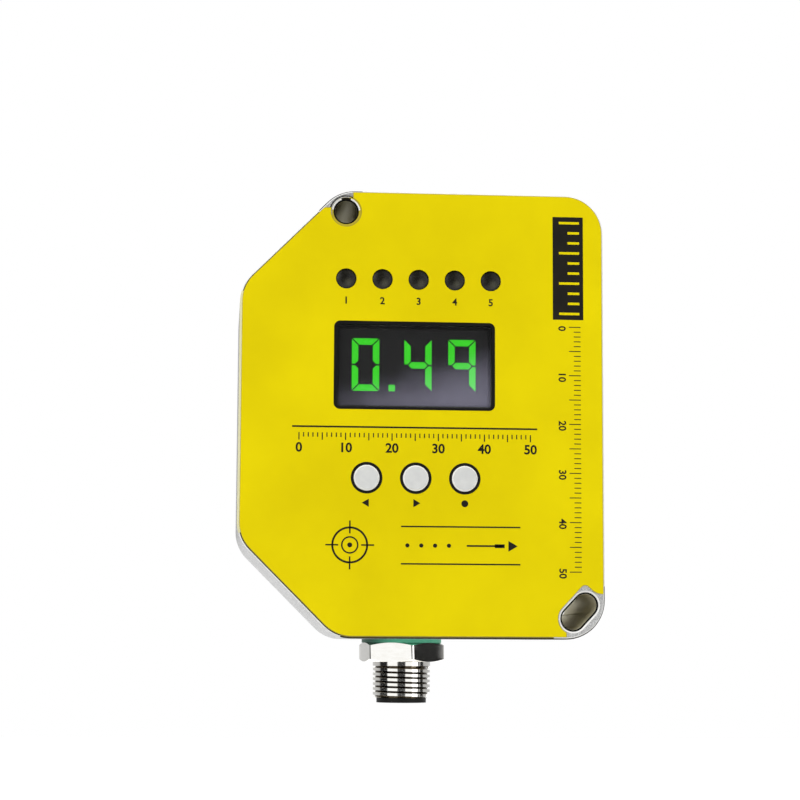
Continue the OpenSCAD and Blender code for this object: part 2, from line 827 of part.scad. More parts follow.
// Light bars of one digit from the lower left corner of its box, named a to g
module bar_form(name) {
    w = digit_w;
    h = digit_h;
    t = bar_w;
    g = bar_gap;
    m = h / 2;
    if (name == "a") polygon([[g, h], [t + g, h - t], [w - t - g, h - t], [w - g, h]]);
    if (name == "d") polygon([[g, 0], [w - g, 0], [w - t - g, t], [t + g, t]]);
    if (name == "f") polygon([[0, h - g], [0, m + g], [t / 2, m + g],
                              [t, m + t / 2 + g], [t, h - t - g]]);
    if (name == "e") polygon([[0, g], [t, t + g], [t, m - t / 2 - g],
                              [t / 2, m - g], [0, m - g]]);
    if (name == "b") translate([w, 0]) mirror([1, 0]) bar_form("f");
    if (name == "c") translate([w, 0]) mirror([1, 0]) bar_form("e");
    if (name == "g") polygon([[t / 2 + g, m], [t + g, m + t / 2], [w - t - g, m + t / 2],
                              [w - t / 2 - g, m], [w - t - g, m - t / 2], [t + g, m - t / 2]]);
}

function is_lit(i, name) = len(search(name, LIT[i])) > 0;

module bars_where(lit) {
    for (i = [0:2])
        translate([digit_x[i], digit_z])
            for (name = BARS)
                if (is_lit(i, name) == lit)
                    bar_form(name);
}

module point_form() {
    translate([digit_x[0] + digit_w + point_gap, digit_z]) square(bar_w);
}

module display_module() {
    color("black")
    difference() {
        layer(front_wall, display_board_d)
            translate([window_x, window_z]) square(module_size, center = true);
        layer(front_wall, front_wall + bar_d) {
            bars_where(true);
            bars_where(false);
            point_form();
        }
    }
}

module lit_segments() {
    color("lime")
    layer(front_wall - bar_proud, front_wall + bar_d) {
        bars_where(true);
        point_form();
    }
}

module dark_segments() {
    color("dimgray")
    layer(front_wall - bar_proud, front_wall + bar_d)
        bars_where(false);
}

module indicator_lens(i) {
    at = [lamp_x[i], lamp_z];
    dome_r = (lamp_r * lamp_r + lamp_dome * lamp_dome) / (2 * lamp_dome);
    rim_d = lamp_sunk - label_t;
    color("darkslategray")
    union() {
        intersection() {
            bar(at, rim_d - lamp_dome, front_wall, lamp_r);
            translate([at[0], front_y + rim_d - lamp_dome + dome_r, at[1]]) sphere(dome_r);
        }
        bar(at, front_wall, front_wall + lamp_flange_t, lamp_flange_r);
        bar(at, front_wall + lamp_flange_t, display_board_d - chip[2] - stop_gap, guide_r);
    }
}

module indicator_leds() {
    color("ivory")
    for (x = lamp_x)
        layer(display_board_d - chip[2], display_board_d)
            translate([x, lamp_z]) square([chip[0], chip[1]], center = true);
}

module button(i) {
    at = [button_x[i], button_z];
    face = -label_t - button_proud;
    collar = ring_back_d + stop_gap;
    color("whitesmoke")
    union() {
        bar(at, face, face + button_break, button_r, button_r - button_break);
        bar(at, face + button_break, collar, button_r);
        bar(at, collar, collar + collar_t, collar_r);
        bar(at, collar + collar_t, switch_d - plunger_out, stem_r);
    }
}

module button_ring(i) {
    at = [button_x[i], button_z];
    color("black")
    difference() {
        union() {
            bar(at, -label_t, front_wall, ring_out_r);
            bar(at, front_wall, ring_back_d, ring_flange_r);
        }
        bar(at, -label_t, ring_back_d, ring_in_r);
    }
}

module plunger(i) {
    color("saddlebrown")
    bar([button_x[i], button_z], switch_d - plunger_out, switch_d + plunger_in, plunger_r);
}

module switch(i) {
    at = [button_x[i], button_z];
    color("darkslategray")
    difference() {
        layer(switch_d, display_board_d)
            translate(at) square(switch_w, center = true);
        bar(at, switch_d, switch_d + plunger_well, plunger_r + slide_gap);
    }
}

module board_form() {
    difference() {
        intersection() {
            cover_form(ledge_w + board_gap, inner_r - board_gap);
            translate([board_right - body_w, board_low]) square([body_w, body_h]);
        }
        for (at = screw_xz)
            translate(at) circle(screw_boss_r + board_gap);
        for (at = pillar_xz)
            translate(at) circle(stud_r + screw_gap);
    }
}

module display_board() {
    color("darkgreen")
    layer(display_board_d, display_board_d + board_t) board_form();
}

module main_board() {
    color("darkgreen")
    layer(main_board_d, main_board_d + board_t) board_form();
}

module board_spacers() {
    color("goldenrod")
    for (at = pillar_xz)
        difference() {
            union() {
                layer(display_board_d + board_t, main_board_d)
                    translate(at) circle(spacer_r, $fn = 6);
                bar(at, display_board_d - stud_l, display_board_d + board_t, stud_r);
            }
            bar(at, main_board_d - stud_l, main_board_d, stud_r);
        }
}

module board_screws() {
    color("silver")
    for (at = pillar_xz) {
        bar(at, main_board_d - stud_l + stop_gap, main_board_d + board_t, stud_r);
        bar(at, main_board_d + board_t, main_board_d + board_t + board_head_h, board_head_r);
    }
}

module board_header() {
    color("black")
    layer(display_board_d + board_t, main_board_d)
        translate([window_x, window_z]) square(header_size, center = true);
}

// A flat chip on the back of the main board
module board_chip(at, size) {
    translate([at[0], front_y + main_board_d + board_t + size[2] / 2, at[1]])
        cube([size[0], size[2], size[1]], center = true);
}

module main_board_parts() {
    back = main_board_d + board_t;
    color("black") {
        board_chip(processor_at, processor);
        board_chip(driver_at, driver);
        board_chip(memory_at, memory);
    }
    color("dimgray")
    for (side = [-1, 1])
        bar(capacitor_at + [side * capacitor_half, 0], back, back + capacitor_h, capacitor_r);
}

module optics_window() {
    color("darkred", 0.6)
    side_layer(right_x - optics_t, right_x) optics_form(optics_pane, optics_r - seat_gap);
}

module optics_seal() {
    color("black")
    side_layer(right_x - optics_t - optics_seal_t, right_x - optics_t)
        difference() {
            optics_form(optics_pane, optics_r - seat_gap);
            optics_form(optics_open, optics_r - optics_lip / 2);
        }
}

module optics_block() {
    color("dimgray")
    difference() {
        side_layer(block_x, inner_right)
            translate([optics_y, optics_z]) square([block_w, block_h], center = true);
        side_bar(receiver_z, inner_right - lens_seat, inner_right, receiver_r + seat_gap);
        side_bar(receiver_z, block_x, inner_right, receiver_r - lens_step);
        side_bar(laser_z, block_x, inner_right, laser_r + seat_gap);
    }
}

// A lens with a flat back and a spherical face that looks to the right
module flat_lens(x, z, r, edge, rise) {
    curve_r = (r * r + rise * rise) / (2 * rise);
    tip_x = x + edge + rise;
    intersection() {
        side_bar(z, x, tip_x, r);
        translate([tip_x - curve_r, optics_y, z]) sphere(curve_r, $fn = 4 * $fn);
    }
}

module receiver_lens() {
    color("lightcyan", 0.5)
    flat_lens(inner_right - lens_seat, receiver_z, receiver_r, receiver_edge, receiver_rise);
}

module laser_barrel() {
    color("goldenrod")
    difference() {
        side_bar(laser_z, laser_x, laser_x + laser_l, laser_r);
        side_bar(laser_z, laser_x + laser_l - collimator_seat, laser_x + laser_l,
                 collimator_r + seat_gap);
        side_bar(laser_z, laser_x, laser_x + laser_l, diode_r / 2);
    }
}

module collimator_lens() {
    color("lightcyan", 0.5)
    flat_lens(laser_x + laser_l - collimator_seat, laser_z,
              collimator_r, collimator_t - collimator_rise, collimator_rise);
}

module laser_diode() {
    color("silver")
    side_bar(laser_z, laser_x - diode_l, laser_x, diode_r);
}

module receiver_board_plate() {
    color("darkgreen")
    side_layer(block_x - receiver_board_t, block_x)
        translate([optics_y, receiver_z]) square(receiver_board, center = true);
}

module photodiode() {
    color("silver")
    side_bar(receiver_z, block_x, block_x + photodiode_h, photodiode_r);
}

module connector_shell() {
    color("silver")
    difference() {
        union() {
            translate([plug_x, plug_y, hex_top]) cylinder(h = barrel_top - hex_top, r = barrel_r);
            intersection() {
                translate([plug_x, plug_y, hex_low])
                    rotate(hex_turn + 30)
                        cylinder(h = hex_h, r = hex_af / 2 / cos(30), $fn = 6);
                translate([plug_x, plug_y, hex_low])
                    hex_chamfer();
            }
            translate([plug_x, plug_y, thread_top]) cylinder(h = neck_h, r = thread_r + seat_gap);
            translate([plug_x, plug_y, thread_low + thread_break])
                cylinder(h = thread_l - thread_break, r = thread_r);
            translate([plug_x, plug_y, thread_low])
                cylinder(h = thread_break, r1 = thread_r - thread_break, r2 = thread_r);
        }
        translate([plug_x, plug_y, thread_low]) cylinder(h = barrel_top - thread_low, r = insert_r);
    }
}

// Turned form that bevels the corners of the hexagon at both of its ends
module hex_chamfer() {
    corner = hex_af / 2 / cos(30);
    flat = hex_af / 2;
    rotate_extrude()
        polygon([[0, 0], [flat, 0], [corner, hex_break],
                 [corner, hex_h - hex_break], [flat, hex_h], [0, hex_h]]);
}

module connector_gasket() {
    color("seagreen")
    translate([plug_x, plug_y, hex_top])
        difference() {
            cylinder(h = plug_gasket_t, r = plug_gasket_r);
            cylinder(h = plug_gasket_t, r = barrel_r);
        }
}

module connector_insert() {
    bore_r = insert_r - insert_wall;
    color("black")
    difference() {
        translate([plug_x, plug_y, insert_low]) cylinder(h = barrel_top - insert_low, r = insert_r);
        difference() {
            translate([plug_x, plug_y, insert_low]) cylinder(h = socket_d, r = bore_r);
            translate([plug_x - key_w / 2, plug_y - bore_r - insert_wall / 2, insert_low])
                cube([key_w, key_h + insert_wall / 2, socket_d]);
        }
        for (at = pin_xy)
            translate([plug_x + at[0], plug_y + at[1], insert_low])
                cylinder(h = barrel_top - insert_low, r = pin_r);
    }
}

module contact_pins() {
    low = insert_low + pin_sunk;
    color("gold")
    for (at = pin_xy)
        translate([plug_x + at[0], plug_y + at[1], 0]) {
            translate([0, 0, low + pin_r]) sphere(pin_r);
            translate([0, 0, low + pin_r]) cylinder(h = barrel_top + pin_tail - low - pin_r, r = pin_r);
        }
}

module connector_locknut() {
    color("silver")
    translate([plug_x, plug_y, floor_z])
        difference() {
            rotate(30) cylinder(h = nut_t, r = nut_af / 2 / cos(30), $fn = 6);
            cylinder(h = nut_t, r = barrel_r);
        }
}

// One lead wire for each contact: up from its tail, round a bend and back to the main board
module lead_wires() {
    tail_z = barrel_top + pin_tail;
    pad_y = front_y + main_board_d;
    color("tomato")
    for (at = pin_xy) {
        y = plug_y + at[1];
        pad_z = board_low + pad_up - at[1] * pad_step;
        translate([plug_x + at[0], y, tail_z]) cylinder(h = pad_z - wire_bend - tail_z, r = wire_r);
        translate([plug_x + at[0], y + wire_bend, pad_z - wire_bend])
            rotate([90, 0, -90])
                rotate_extrude(angle = 90)
                    translate([wire_bend, 0]) circle(wire_r);
        translate([plug_x + at[0], y + wire_bend, pad_z])
            rotate([-90, 0, 0])
                cylinder(h = pad_y - y - wire_bend, r = wire_r);
    }
}

housing();
front_label();
rear_cover();
rear_gasket();
cover_screws();
display_frame();
display_window();
display_module();
lit_segments();
dark_segments();
indicator_lens(0);  // indicator_lens_1
indicator_lens(1);  // indicator_lens_2
indicator_lens(2);  // indicator_lens_3
indicator_lens(3);  // indicator_lens_4
indicator_lens(4);  // indicator_lens_5
indicator_leds();
button(0);  // button_left
button(1);  // button_middle
button(2);  // button_right
button_ring(0);  // button_ring_left
button_ring(1);  // button_ring_middle
button_ring(2);  // button_ring_right
plunger(0);  // plunger_left
plunger(1);  // plunger_middle
plunger(2);  // plunger_right
switch(0);  // switch_left
switch(1);  // switch_middle
switch(2);  // switch_right
display_board();
board_spacers();
main_board();
board_screws();
board_header();
main_board_parts();
optics_window();
optics_seal();
optics_block();
receiver_lens();
laser_barrel();
collimator_lens();
laser_diode();
receiver_board_plate();  // receiver_board
photodiode();
connector_shell();
connector_gasket();
connector_insert();
contact_pins();
connector_locknut();
lead_wires();
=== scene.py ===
import math

import bmesh
import bpy
from mathutils import Matrix, Vector


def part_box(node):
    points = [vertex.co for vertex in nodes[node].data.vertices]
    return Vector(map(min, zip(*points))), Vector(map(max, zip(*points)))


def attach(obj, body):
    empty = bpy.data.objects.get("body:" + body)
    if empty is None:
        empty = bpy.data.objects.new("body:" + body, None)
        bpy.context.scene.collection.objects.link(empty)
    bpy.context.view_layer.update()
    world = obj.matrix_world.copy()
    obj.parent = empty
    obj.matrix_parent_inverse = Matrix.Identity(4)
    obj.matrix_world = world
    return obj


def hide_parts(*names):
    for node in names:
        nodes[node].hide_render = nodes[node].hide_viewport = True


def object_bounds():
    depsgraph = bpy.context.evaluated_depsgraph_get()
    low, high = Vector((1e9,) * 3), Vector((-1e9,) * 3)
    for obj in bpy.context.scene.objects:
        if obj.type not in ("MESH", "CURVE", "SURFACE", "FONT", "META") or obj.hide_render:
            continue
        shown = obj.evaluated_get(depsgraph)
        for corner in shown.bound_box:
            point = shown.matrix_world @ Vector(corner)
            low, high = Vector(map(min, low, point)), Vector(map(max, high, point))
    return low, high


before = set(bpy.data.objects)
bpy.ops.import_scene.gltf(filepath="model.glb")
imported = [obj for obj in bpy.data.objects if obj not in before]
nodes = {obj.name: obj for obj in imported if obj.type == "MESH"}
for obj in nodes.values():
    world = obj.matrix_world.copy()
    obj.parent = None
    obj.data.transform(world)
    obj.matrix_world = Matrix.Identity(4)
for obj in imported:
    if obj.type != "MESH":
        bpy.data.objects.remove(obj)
cad_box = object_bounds()
MM = 0.001


# The sensor is seen from half a metre away through a long lens. The camera stands
# a little to the left of it and near its connector, and looks slightly up.
CAMERA_PLACE = Vector((-24.42, -460.10, -88.30)) * MM
CAMERA_TURN = [math.radians(angle) for angle in (96.7036, -0.2702, -4.8665)]
CAMERA_LENS = 94.5
CAMERA_FILM = 36.0
CAMERA_NEAREST = 10 * MM
camera_data = bpy.data.cameras.new("camera")
camera_data.sensor_width = CAMERA_FILM
camera_data.lens = CAMERA_LENS
camera_data.clip_start = CAMERA_NEAREST
camera = bpy.data.objects.new("camera", camera_data)
camera.location = CAMERA_PLACE
camera.rotation_euler = CAMERA_TURN
bpy.context.scene.collection.objects.link(camera)
bpy.context.scene.camera = camera
bpy.context.scene.view_settings.view_transform = "Standard"


# A white studio: an even soft light from all sides and a pale floor below. Shiny metal
# sees bright screens beside the camera, dark walls at its sides and pale ones behind.
ROOM_LIGHT = 0.5
# What metal and glass see round the room: degrees to the right of the camera, and brightness
ROOM_SEEN = [(-180, 0.95), (-168, 0.9), (-160, 0.58), (-116, 0.5), (-102, 0.4), (-96, 0.02), (-64, 0.02),
             (-60, 1.0), (-22, 1.0), (-18, 0.05), (10, 0.05), (13, 1.0), (46, 1.0), (50, 0.02), (67, 0.02),
             (70, 0.35), (76, 0.35), (79, 0.02), (91, 0.02), (95, 0.42), (160, 0.58), (168, 0.9), (180, 0.95)]
CEILING_SEEN = 0.14
# How steeply a ray rises where the ceiling begins, and where it fills the view
CEILING_EDGE = (0.55, 0.85)
# The name, place, width, height and power of each lit screen
SCREENS = [("screen_left", (-0.62, -0.75, 0.42), 0.5, 0.7, 4.2),
           ("screen_right", (0.75, -0.6, 0.05), 0.4, 0.7, 2.1),
           ("screen_above", (0.05, -0.05, 0.85), 0.6, 0.6, 2.4)]
FLOOR_DROP = 60 * MM
FLOOR_SIZE = 2.4
FLOOR_TONE = 0.82
FLOOR_GLOW = 0.7


def grey(brightness):
    return (brightness, brightness, brightness, 1.0)


def add_node(tree, kind, **settings):
    node = tree.nodes.new(kind)
    for name, value in settings.items():
        setattr(node, name, value)
    return node


def set_inputs(node, values):
    for name, value in values.items():
        node.inputs[name].default_value = value


def join(tree, value, socket):
    """Links a socket to another, or sets it to a plain value."""
    if isinstance(value, bpy.types.NodeSocket):
        tree.links.new(value, socket)
    else:
        socket.default_value = value


def add_math(tree, operation, *operands):
    """A Math node whose operands are numbers or sockets."""
    node = add_node(tree, "ShaderNodeMath", operation=operation)
    for socket, value in zip(node.inputs, operands):
        join(tree, value, socket)
    return node.outputs[0]


def split_axes(tree, vector):
    """The X, Y and Z sockets of a vector."""
    node = add_node(tree, "ShaderNodeSeparateXYZ")
    tree.links.new(vector, node.inputs[0])
    return node.outputs


def ease(tree, value, low, high):
    """A mask that rises smoothly from nought at the low value to one at the high value."""
    node = add_node(tree, "ShaderNodeMapRange", interpolation_type="SMOOTHSTEP")
    set_inputs(node, {"From Min": low, "From Max": high})
    tree.links.new(value, node.inputs["Value"])
    return node.outputs["Result"]


def mix_tones(tree, factor, first, second):
    """Two colours, or colour sockets, mixed by a mask."""
    node = add_node(tree, "ShaderNodeMix", data_type="RGBA")
    tree.links.new(factor, node.inputs["Factor"])
    join(tree, first, node.inputs["A"])
    join(tree, second, node.inputs["B"])
    return node.outputs["Result"]


def add_ramp(tree, value, stops):
    """A grey colour ramp with stops of place and brightness."""
    ramp = add_node(tree, "ShaderNodeValToRGB")
    elements = ramp.color_ramp.elements
    while len(elements) < len(stops):
        elements.new(0.5)
    for element, (place, brightness) in zip(elements, stops):
        element.position = place
        element.color = grey(brightness)
    tree.links.new(value, ramp.inputs["Fac"])
    return ramp.outputs["Color"]


def seen_ray(tree, *names):
    """One where the ray is any of the named kinds, and nought elsewhere."""
    path = add_node(tree, "ShaderNodeLightPath")
    seen = path.outputs[names[0]]
    for name in names[1:]:
        seen = add_math(tree, "MAXIMUM", seen, path.outputs[name])
    return seen


world = bpy.data.worlds.new("studio")
world.use_nodes = True
bpy.context.scene.world = world
sky = world.node_tree
sky.nodes.clear()
direction = split_axes(sky, add_node(sky, "ShaderNodeTexCoord").outputs["Generated"])
heading = add_math(sky, "ARCTAN2", direction["X"], add_math(sky, "MULTIPLY", direction["Y"], -1.0))
round_the_room = add_math(sky, "ADD", add_math(sky, "DIVIDE", heading, 2 * math.pi), 0.5)
walls = add_ramp(sky, round_the_room, [(turn / 360 + 0.5, brightness) for turn, brightness in ROOM_SEEN])
room = mix_tones(sky, ease(sky, direction["Z"], *CEILING_EDGE), walls, grey(CEILING_SEEN))
room = mix_tones(sky, seen_ray(sky, "Is Glossy Ray"), grey(ROOM_LIGHT), room)
room = mix_tones(sky, seen_ray(sky, "Is Camera Ray", "Is Transmission Ray"), room, grey(1.0))
background = add_node(sky, "ShaderNodeBackground")
sky.links.new(room, background.inputs["Color"])
sky.links.new(background.outputs[0], add_node(sky, "ShaderNodeOutputWorld").inputs["Surface"])

middle = (cad_box[0] + cad_box[1]) / 2
for name, place, width, height, power in SCREENS:
    light = bpy.data.lights.new(name, "AREA")
    light.shape = "RECTANGLE"
    light.size = width
    light.size_y = height
    light.energy = power
    screen = bpy.data.objects.new(name, light)
    screen.location = place
    screen.rotation_euler = (middle - Vector(place)).to_track_quat("-Z", "Y").to_euler()
    bpy.context.scene.collection.objects.link(screen)

floor_mesh = bpy.data.meshes.new("floor")
bm = bmesh.new()
bmesh.ops.create_grid(bm, x_segments=1, y_segments=1, size=FLOOR_SIZE / 2)
bmesh.ops.translate(bm, verts=bm.verts, vec=(0, 0, cad_box[0].z - FLOOR_DROP))
bm.to_mesh(floor_mesh)
bm.free()
floor = bpy.data.objects.new("floor", floor_mesh)
bpy.context.scene.collection.objects.link(floor)
floor_paint = bpy.data.materials.new("floor_paint")
floor_paint.use_nodes = True
tree = floor_paint.node_tree
shader = tree.nodes["Principled BSDF"]
set_inputs(shader, {"Base Color": grey(FLOOR_TONE), "Roughness": 0.9, "Specular IOR Level": 0.1,
                    "Emission Color": grey(1.0)})
seen = seen_ray(tree, "Is Camera Ray", "Is Glossy Ray", "Is Transmission Ray")
tree.links.new(add_math(tree, "MULTIPLY", seen, FLOOR_GLOW), shader.inputs["Emission Strength"])
floor_mesh.materials.append(floor_paint)


# The housing is one aluminium die casting, tumbled and left bare. Its front edge and the mouths of
# its openings are milled. Painted highlights and painted shade line that edge, darkest at the slanted sides
# and below.
HOLE_CENTRE = (0.0, 0.0)
SLOT_CENTRE = (47.75, -81.15)
SLOT_HALF_SPAN = 1.875
SLOT_TURN = math.radians(47)
# How far from an opening's middle line its wall, the ring of painted shade at the wall's front end
# and the bevel reach, the wall and the bevel with a hair to spare, and how deep the ring and the bevel go
BORE_R = 2.26
RING_R = 2.6
MOUTH_R = 2.92
MOUTH_DEPTH = 0.9
# To the left of this, what lies near an opening belongs to the hole, not to the slot
HOLE_SIDE = 3.19
# The front face ends at the first of these depths, and the chamfer round it at the second
FACE_DEPTH = 0.005
CHAMFER_DEPTH = 1.01
# Where the inner band of painted light and shade along the chamfer ends, along the label and round the bare
# pads
CHAMFER_LINE = 0.45
PAD_LINE = 0.5
PAD_REACH = 5.5
PAD_GROOVE = (3.15, 3.42)
# The glue shows within this distance of the hole's middle, and not in its upper left corner
GLUE_R = 3.2
GLUE_CORNER = 2.2
# How far a normal leans before its face counts as turned that way, and as facing straight that way
LEAN = 0.25
SQUARE_ON = 0.9
# The lower half of the hole's bevel, and a little more, faces up: its normals rise more than this
MOUTH_LOWER = -0.1
SKIN_ROUGH = (0.4, 0.52)
SKIN_METALLIC = 0.7
# Roughness of the walls of the slot and the hole, as a share of the skin's
WALL_ROUGH = (1.35, 0.72)


def linear(red, green, blue):
    """A screen colour from 0 to 255 as the linear colour that a shader takes."""
    parts = [c / 255 for c in (red, green, blue)]
    return [c / 12.92 if c <= 0.04045 else ((c + 0.055) / 1.055) ** 2.4 for c in parts] + [1.0]


SKIN_TONES = [linear(146, 146, 146), linear(212, 212, 211)]
# Painted light and shade for the chamfer and the mouths: the light tones are painted highlights and the dark
# ones painted shade. The yellow is also the glue's colour.
PAINTED_LIGHT_CREAM = linear(234, 230, 186)
PAINTED_HIGHLIGHT_WHITE = linear(244, 244, 241)
PAINTED_SHADE_OLIVE = linear(128, 114, 62)
GLUE_AND_SHADE_YELLOW = linear(196, 178, 58)
PAINTED_SHADE_DARK = linear(36, 32, 20)
MOUTH_HIGHLIGHT_TONE = linear(250, 250, 248)
RING_SHADE_TONE = linear(12, 12, 9)
# The olive wall tones, darker for the hole than for the slot, are painted shade inside the openings
HOLE_TONES = [linear(148, 142, 108), linear(164, 158, 124)]
SLOT_TONES = [linear(215, 209, 184), linear(226, 221, 197)]


def mottle_group():
    """Fine grain and broad clouds over a surface, both from nought to one. Sizes are in millimetres."""
    group = bpy.data.node_groups.new("mottle", "ShaderNodeTree")
    for name, value in (("Grain size", 0.2), ("Cloud size", 8.0)):
        group.interface.new_socket(name, in_out="INPUT", socket_type="NodeSocketFloat").default_value = value
    stretch = group.interface.new_socket("Stretch", in_out="INPUT", socket_type="NodeSocketVector")
    stretch.default_value = (1.0, 1.0, 1.0)
    for name in ("Grain", "Clouds"):
        group.interface.new_socket(name, in_out="OUTPUT", socket_type="NodeSocketFloat")
    entry = add_node(group, "NodeGroupInput")
    end = add_node(group, "NodeGroupOutput")
    place = add_node(group, "ShaderNodeTexCoord")
    stretched = add_node(group, "ShaderNodeVectorMath", operation="MULTIPLY")
    group.links.new(place.outputs["Object"], stretched.inputs[0])
    group.links.new(entry.outputs["Stretch"], stretched.inputs[1])
    for size, result, detail in (("Grain size", "Grain", 3.0), ("Cloud size", "Clouds", 4.0)):
        noise = add_node(group, "ShaderNodeTexNoise")
        noise.inputs["Detail"].default_value = detail
        group.links.new(add_math(group, "DIVIDE", 1 / MM, entry.outputs[size]), noise.inputs["Scale"])
        group.links.new(stretched.outputs[0], noise.inputs["Vector"])
        # Noise stays near its middle, so only that part of it is spread out
        spread = add_node(group, "ShaderNodeMapRange")
        set_inputs(spread, {"From Min": 0.32, "From Max": 0.68})
        group.links.new(noise.outputs["Fac"], spread.inputs["Value"])
        group.links.new(spread.outputs["Result"], end.inputs[result])
    return group


MOTTLE = mottle_group()


def start_finish(name, grain, cloud, stretch=(1.0, 1.0, 1.0)):
    """A new material with its shader and its own grain and clouds."""
    material = bpy.data.materials.new(name)
    material.use_nodes = True
    tree = material.node_tree
    mottle = add_node(tree, "ShaderNodeGroup", node_tree=MOTTLE)
    set_inputs(mottle, {"Grain size": grain, "Cloud size": cloud, "Stretch": stretch})
    return material, tree, tree.nodes["Principled BSDF"], mottle.outputs


def between(tree, mask, low, high):
    """A number that runs from low to high with a mask."""
    node = add_node(tree, "ShaderNodeMapRange")
    set_inputs(node, {"To Min": low, "To Max": high})
    tree.links.new(mask, node.inputs["Value"])
    return node.outputs["Result"]


def add_relief(tree, shader, height, depth):
    """Bump of a depth in millimetres."""
    bump = add_node(tree, "ShaderNodeBump")
    bump.inputs["Distance"].default_value = depth * MM
    tree.links.new(height, bump.inputs["Height"])
    tree.links.new(bump.outputs["Normal"], shader.inputs["Normal"])


def dress(material, *names):
    """Gives CAD nodes their finish."""
    for name in names:
        for slot in nodes[name].material_slots:
            slot.material = material


def less(tree, value, limit):
    """One where a value is below a limit."""
    return add_math(tree, "LESS_THAN", value, limit)


def both(tree, mask, *others):
    """One where every mask is one."""
    for other in others:
        mask = add_math(tree, "MULTIPLY", mask, other)
    return mask


def outside(tree, mask):
    """One where a mask is nought."""
    return add_math(tree, "SUBTRACT", 1.0, mask)


def reach(tree, first, second):
    """The length of two offsets at right angles."""
    squares = [add_math(tree, "MULTIPLY", offset, offset) for offset in (first, second)]
    return add_math(tree, "SQRT", add_math(tree, "ADD", *squares))


def distance_to_openings(tree, place):
    """How far a point is from the middle line of the mounting hole or the slot, whichever is nearer."""
    distances = []
    for centre, turn, half in ((HOLE_CENTRE, 0.0, 0.0), (SLOT_CENTRE, SLOT_TURN, SLOT_HALF_SPAN)):
        mapping = add_node(tree, "ShaderNodeMapping", vector_type="TEXTURE")
        set_inputs(mapping, {"Location": (centre[0] * MM, 0.0, centre[1] * MM),
                             "Rotation": (0.0, -turn, 0.0)})
        tree.links.new(place, mapping.inputs["Vector"])
        turned = split_axes(tree, mapping.outputs[0])
        past_end = add_math(tree, "SUBTRACT", add_math(tree, "ABSOLUTE", turned["X"]), half * MM)
        distances.append(reach(tree, add_math(tree, "MAXIMUM", past_end, 0.0), turned["Z"]))
    return add_math(tree, "MINIMUM", *distances)


cast_metal, tree, shader, mottle = start_finish("cast_metal", grain=0.3, cloud=6.0)
surface = add_node(tree, "ShaderNodeTexCoord").outputs
place = split_axes(tree, surface["Object"])
facing = split_axes(tree, surface["Normal"])
behind = add_math(tree, "SUBTRACT", place["Y"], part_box("housing")[0].y)
past_face = add_math(tree, "GREATER_THAN", behind, FACE_DEPTH * MM)
to_front = less(tree, facing["Y"], -SQUARE_ON)

# The openings: their walls, the bevel at their mouths and a ring of painted shade where it meets the wall
away = distance_to_openings(tree, surface["Object"])
near_front = less(tree, behind, MOUTH_DEPTH * MM)
mouth = both(tree, near_front, less(tree, away, MOUTH_R * MM))
ring = both(tree, near_front, less(tree, away, RING_R * MM))
bore = less(tree, away, BORE_R * MM)
at_pad = less(tree, away, PAD_REACH * MM)
at_hole = less(tree, place["X"], HOLE_SIDE * MM)
upper = both(tree, at_hole, less(tree, add_math(tree, "ABSOLUTE", facing["X"]), LEAN))
lower = both(tree, at_hole, add_math(tree, "GREATER_THAN", facing["Z"], MOUTH_LOWER))
# The bevel is painted by the way it faces: white for a painted highlight, dark for painted shade at the top
# of the hole and yellow for painted shade at its lower half
mouth_light_and_shade = mix_tones(tree, lower, mix_tones(tree, upper, MOUTH_HIGHLIGHT_TONE, PAINTED_SHADE_DARK), GLUE_AND_SHADE_YELLOW)
# The walls are tinted olive, the hole's darker than the slot's: painted shade inside the openings
bore_shade_tone = mix_tones(tree, at_hole, mix_tones(tree, mottle["Clouds"], *SLOT_TONES),
                      mix_tones(tree, mottle["Clouds"], *HOLE_TONES))

# The chamfer round the front, painted with light and shade by the way it faces: an inner band beside
# the label and an outer one, light for painted highlights and dark for painted shade
chamfer = both(tree, past_face, less(tree, behind, CHAMFER_DEPTH * MM),
               outside(tree, mouth), outside(tree, to_front))
upright = less(tree, add_math(tree, "ABSOLUTE", facing["Z"]), LEAN)
to_left = less(tree, facing["X"], -LEAN)
slanted = both(tree, to_left, outside(tree, upright))
left_side = both(tree, to_left, upright)
below = both(tree, less(tree, facing["Z"], -LEAN), outside(tree, slanted))
inner = mix_tones(tree, slanted, PAINTED_LIGHT_CREAM, PAINTED_SHADE_DARK)
inner = mix_tones(tree, below, inner, PAINTED_SHADE_OLIVE)
inner = mix_tones(tree, at_pad, inner, PAINTED_HIGHLIGHT_WHITE)
outer = mix_tones(tree, left_side, PAINTED_HIGHLIGHT_WHITE, PAINTED_LIGHT_CREAM)
outer = mix_tones(tree, add_math(tree, "MAXIMUM", below, at_pad), outer, PAINTED_SHADE_DARK)
line = between(tree, at_pad, CHAMFER_LINE * MM, PAD_LINE * MM)
edge_light_and_shade = mix_tones(tree, less(tree, behind, line), outer, inner)

# Round the hole: a fine groove in its pad, painted dark for its shade, and a line of glue at the label's
# corner
groove = add_math(tree, "COMPARE", away, sum(PAD_GROOVE) / 2 * MM, (PAD_GROOVE[1] - PAD_GROOVE[0]) / 2 * MM)
groove = both(tree, groove, at_hole, to_front)
toward_corner = add_math(tree, "SUBTRACT", place["Z"], place["X"])
glue = both(tree, at_hole, less(tree, away, GLUE_R * MM), less(tree, toward_corner, GLUE_CORNER * MM),
            to_front, outside(tree, past_face))

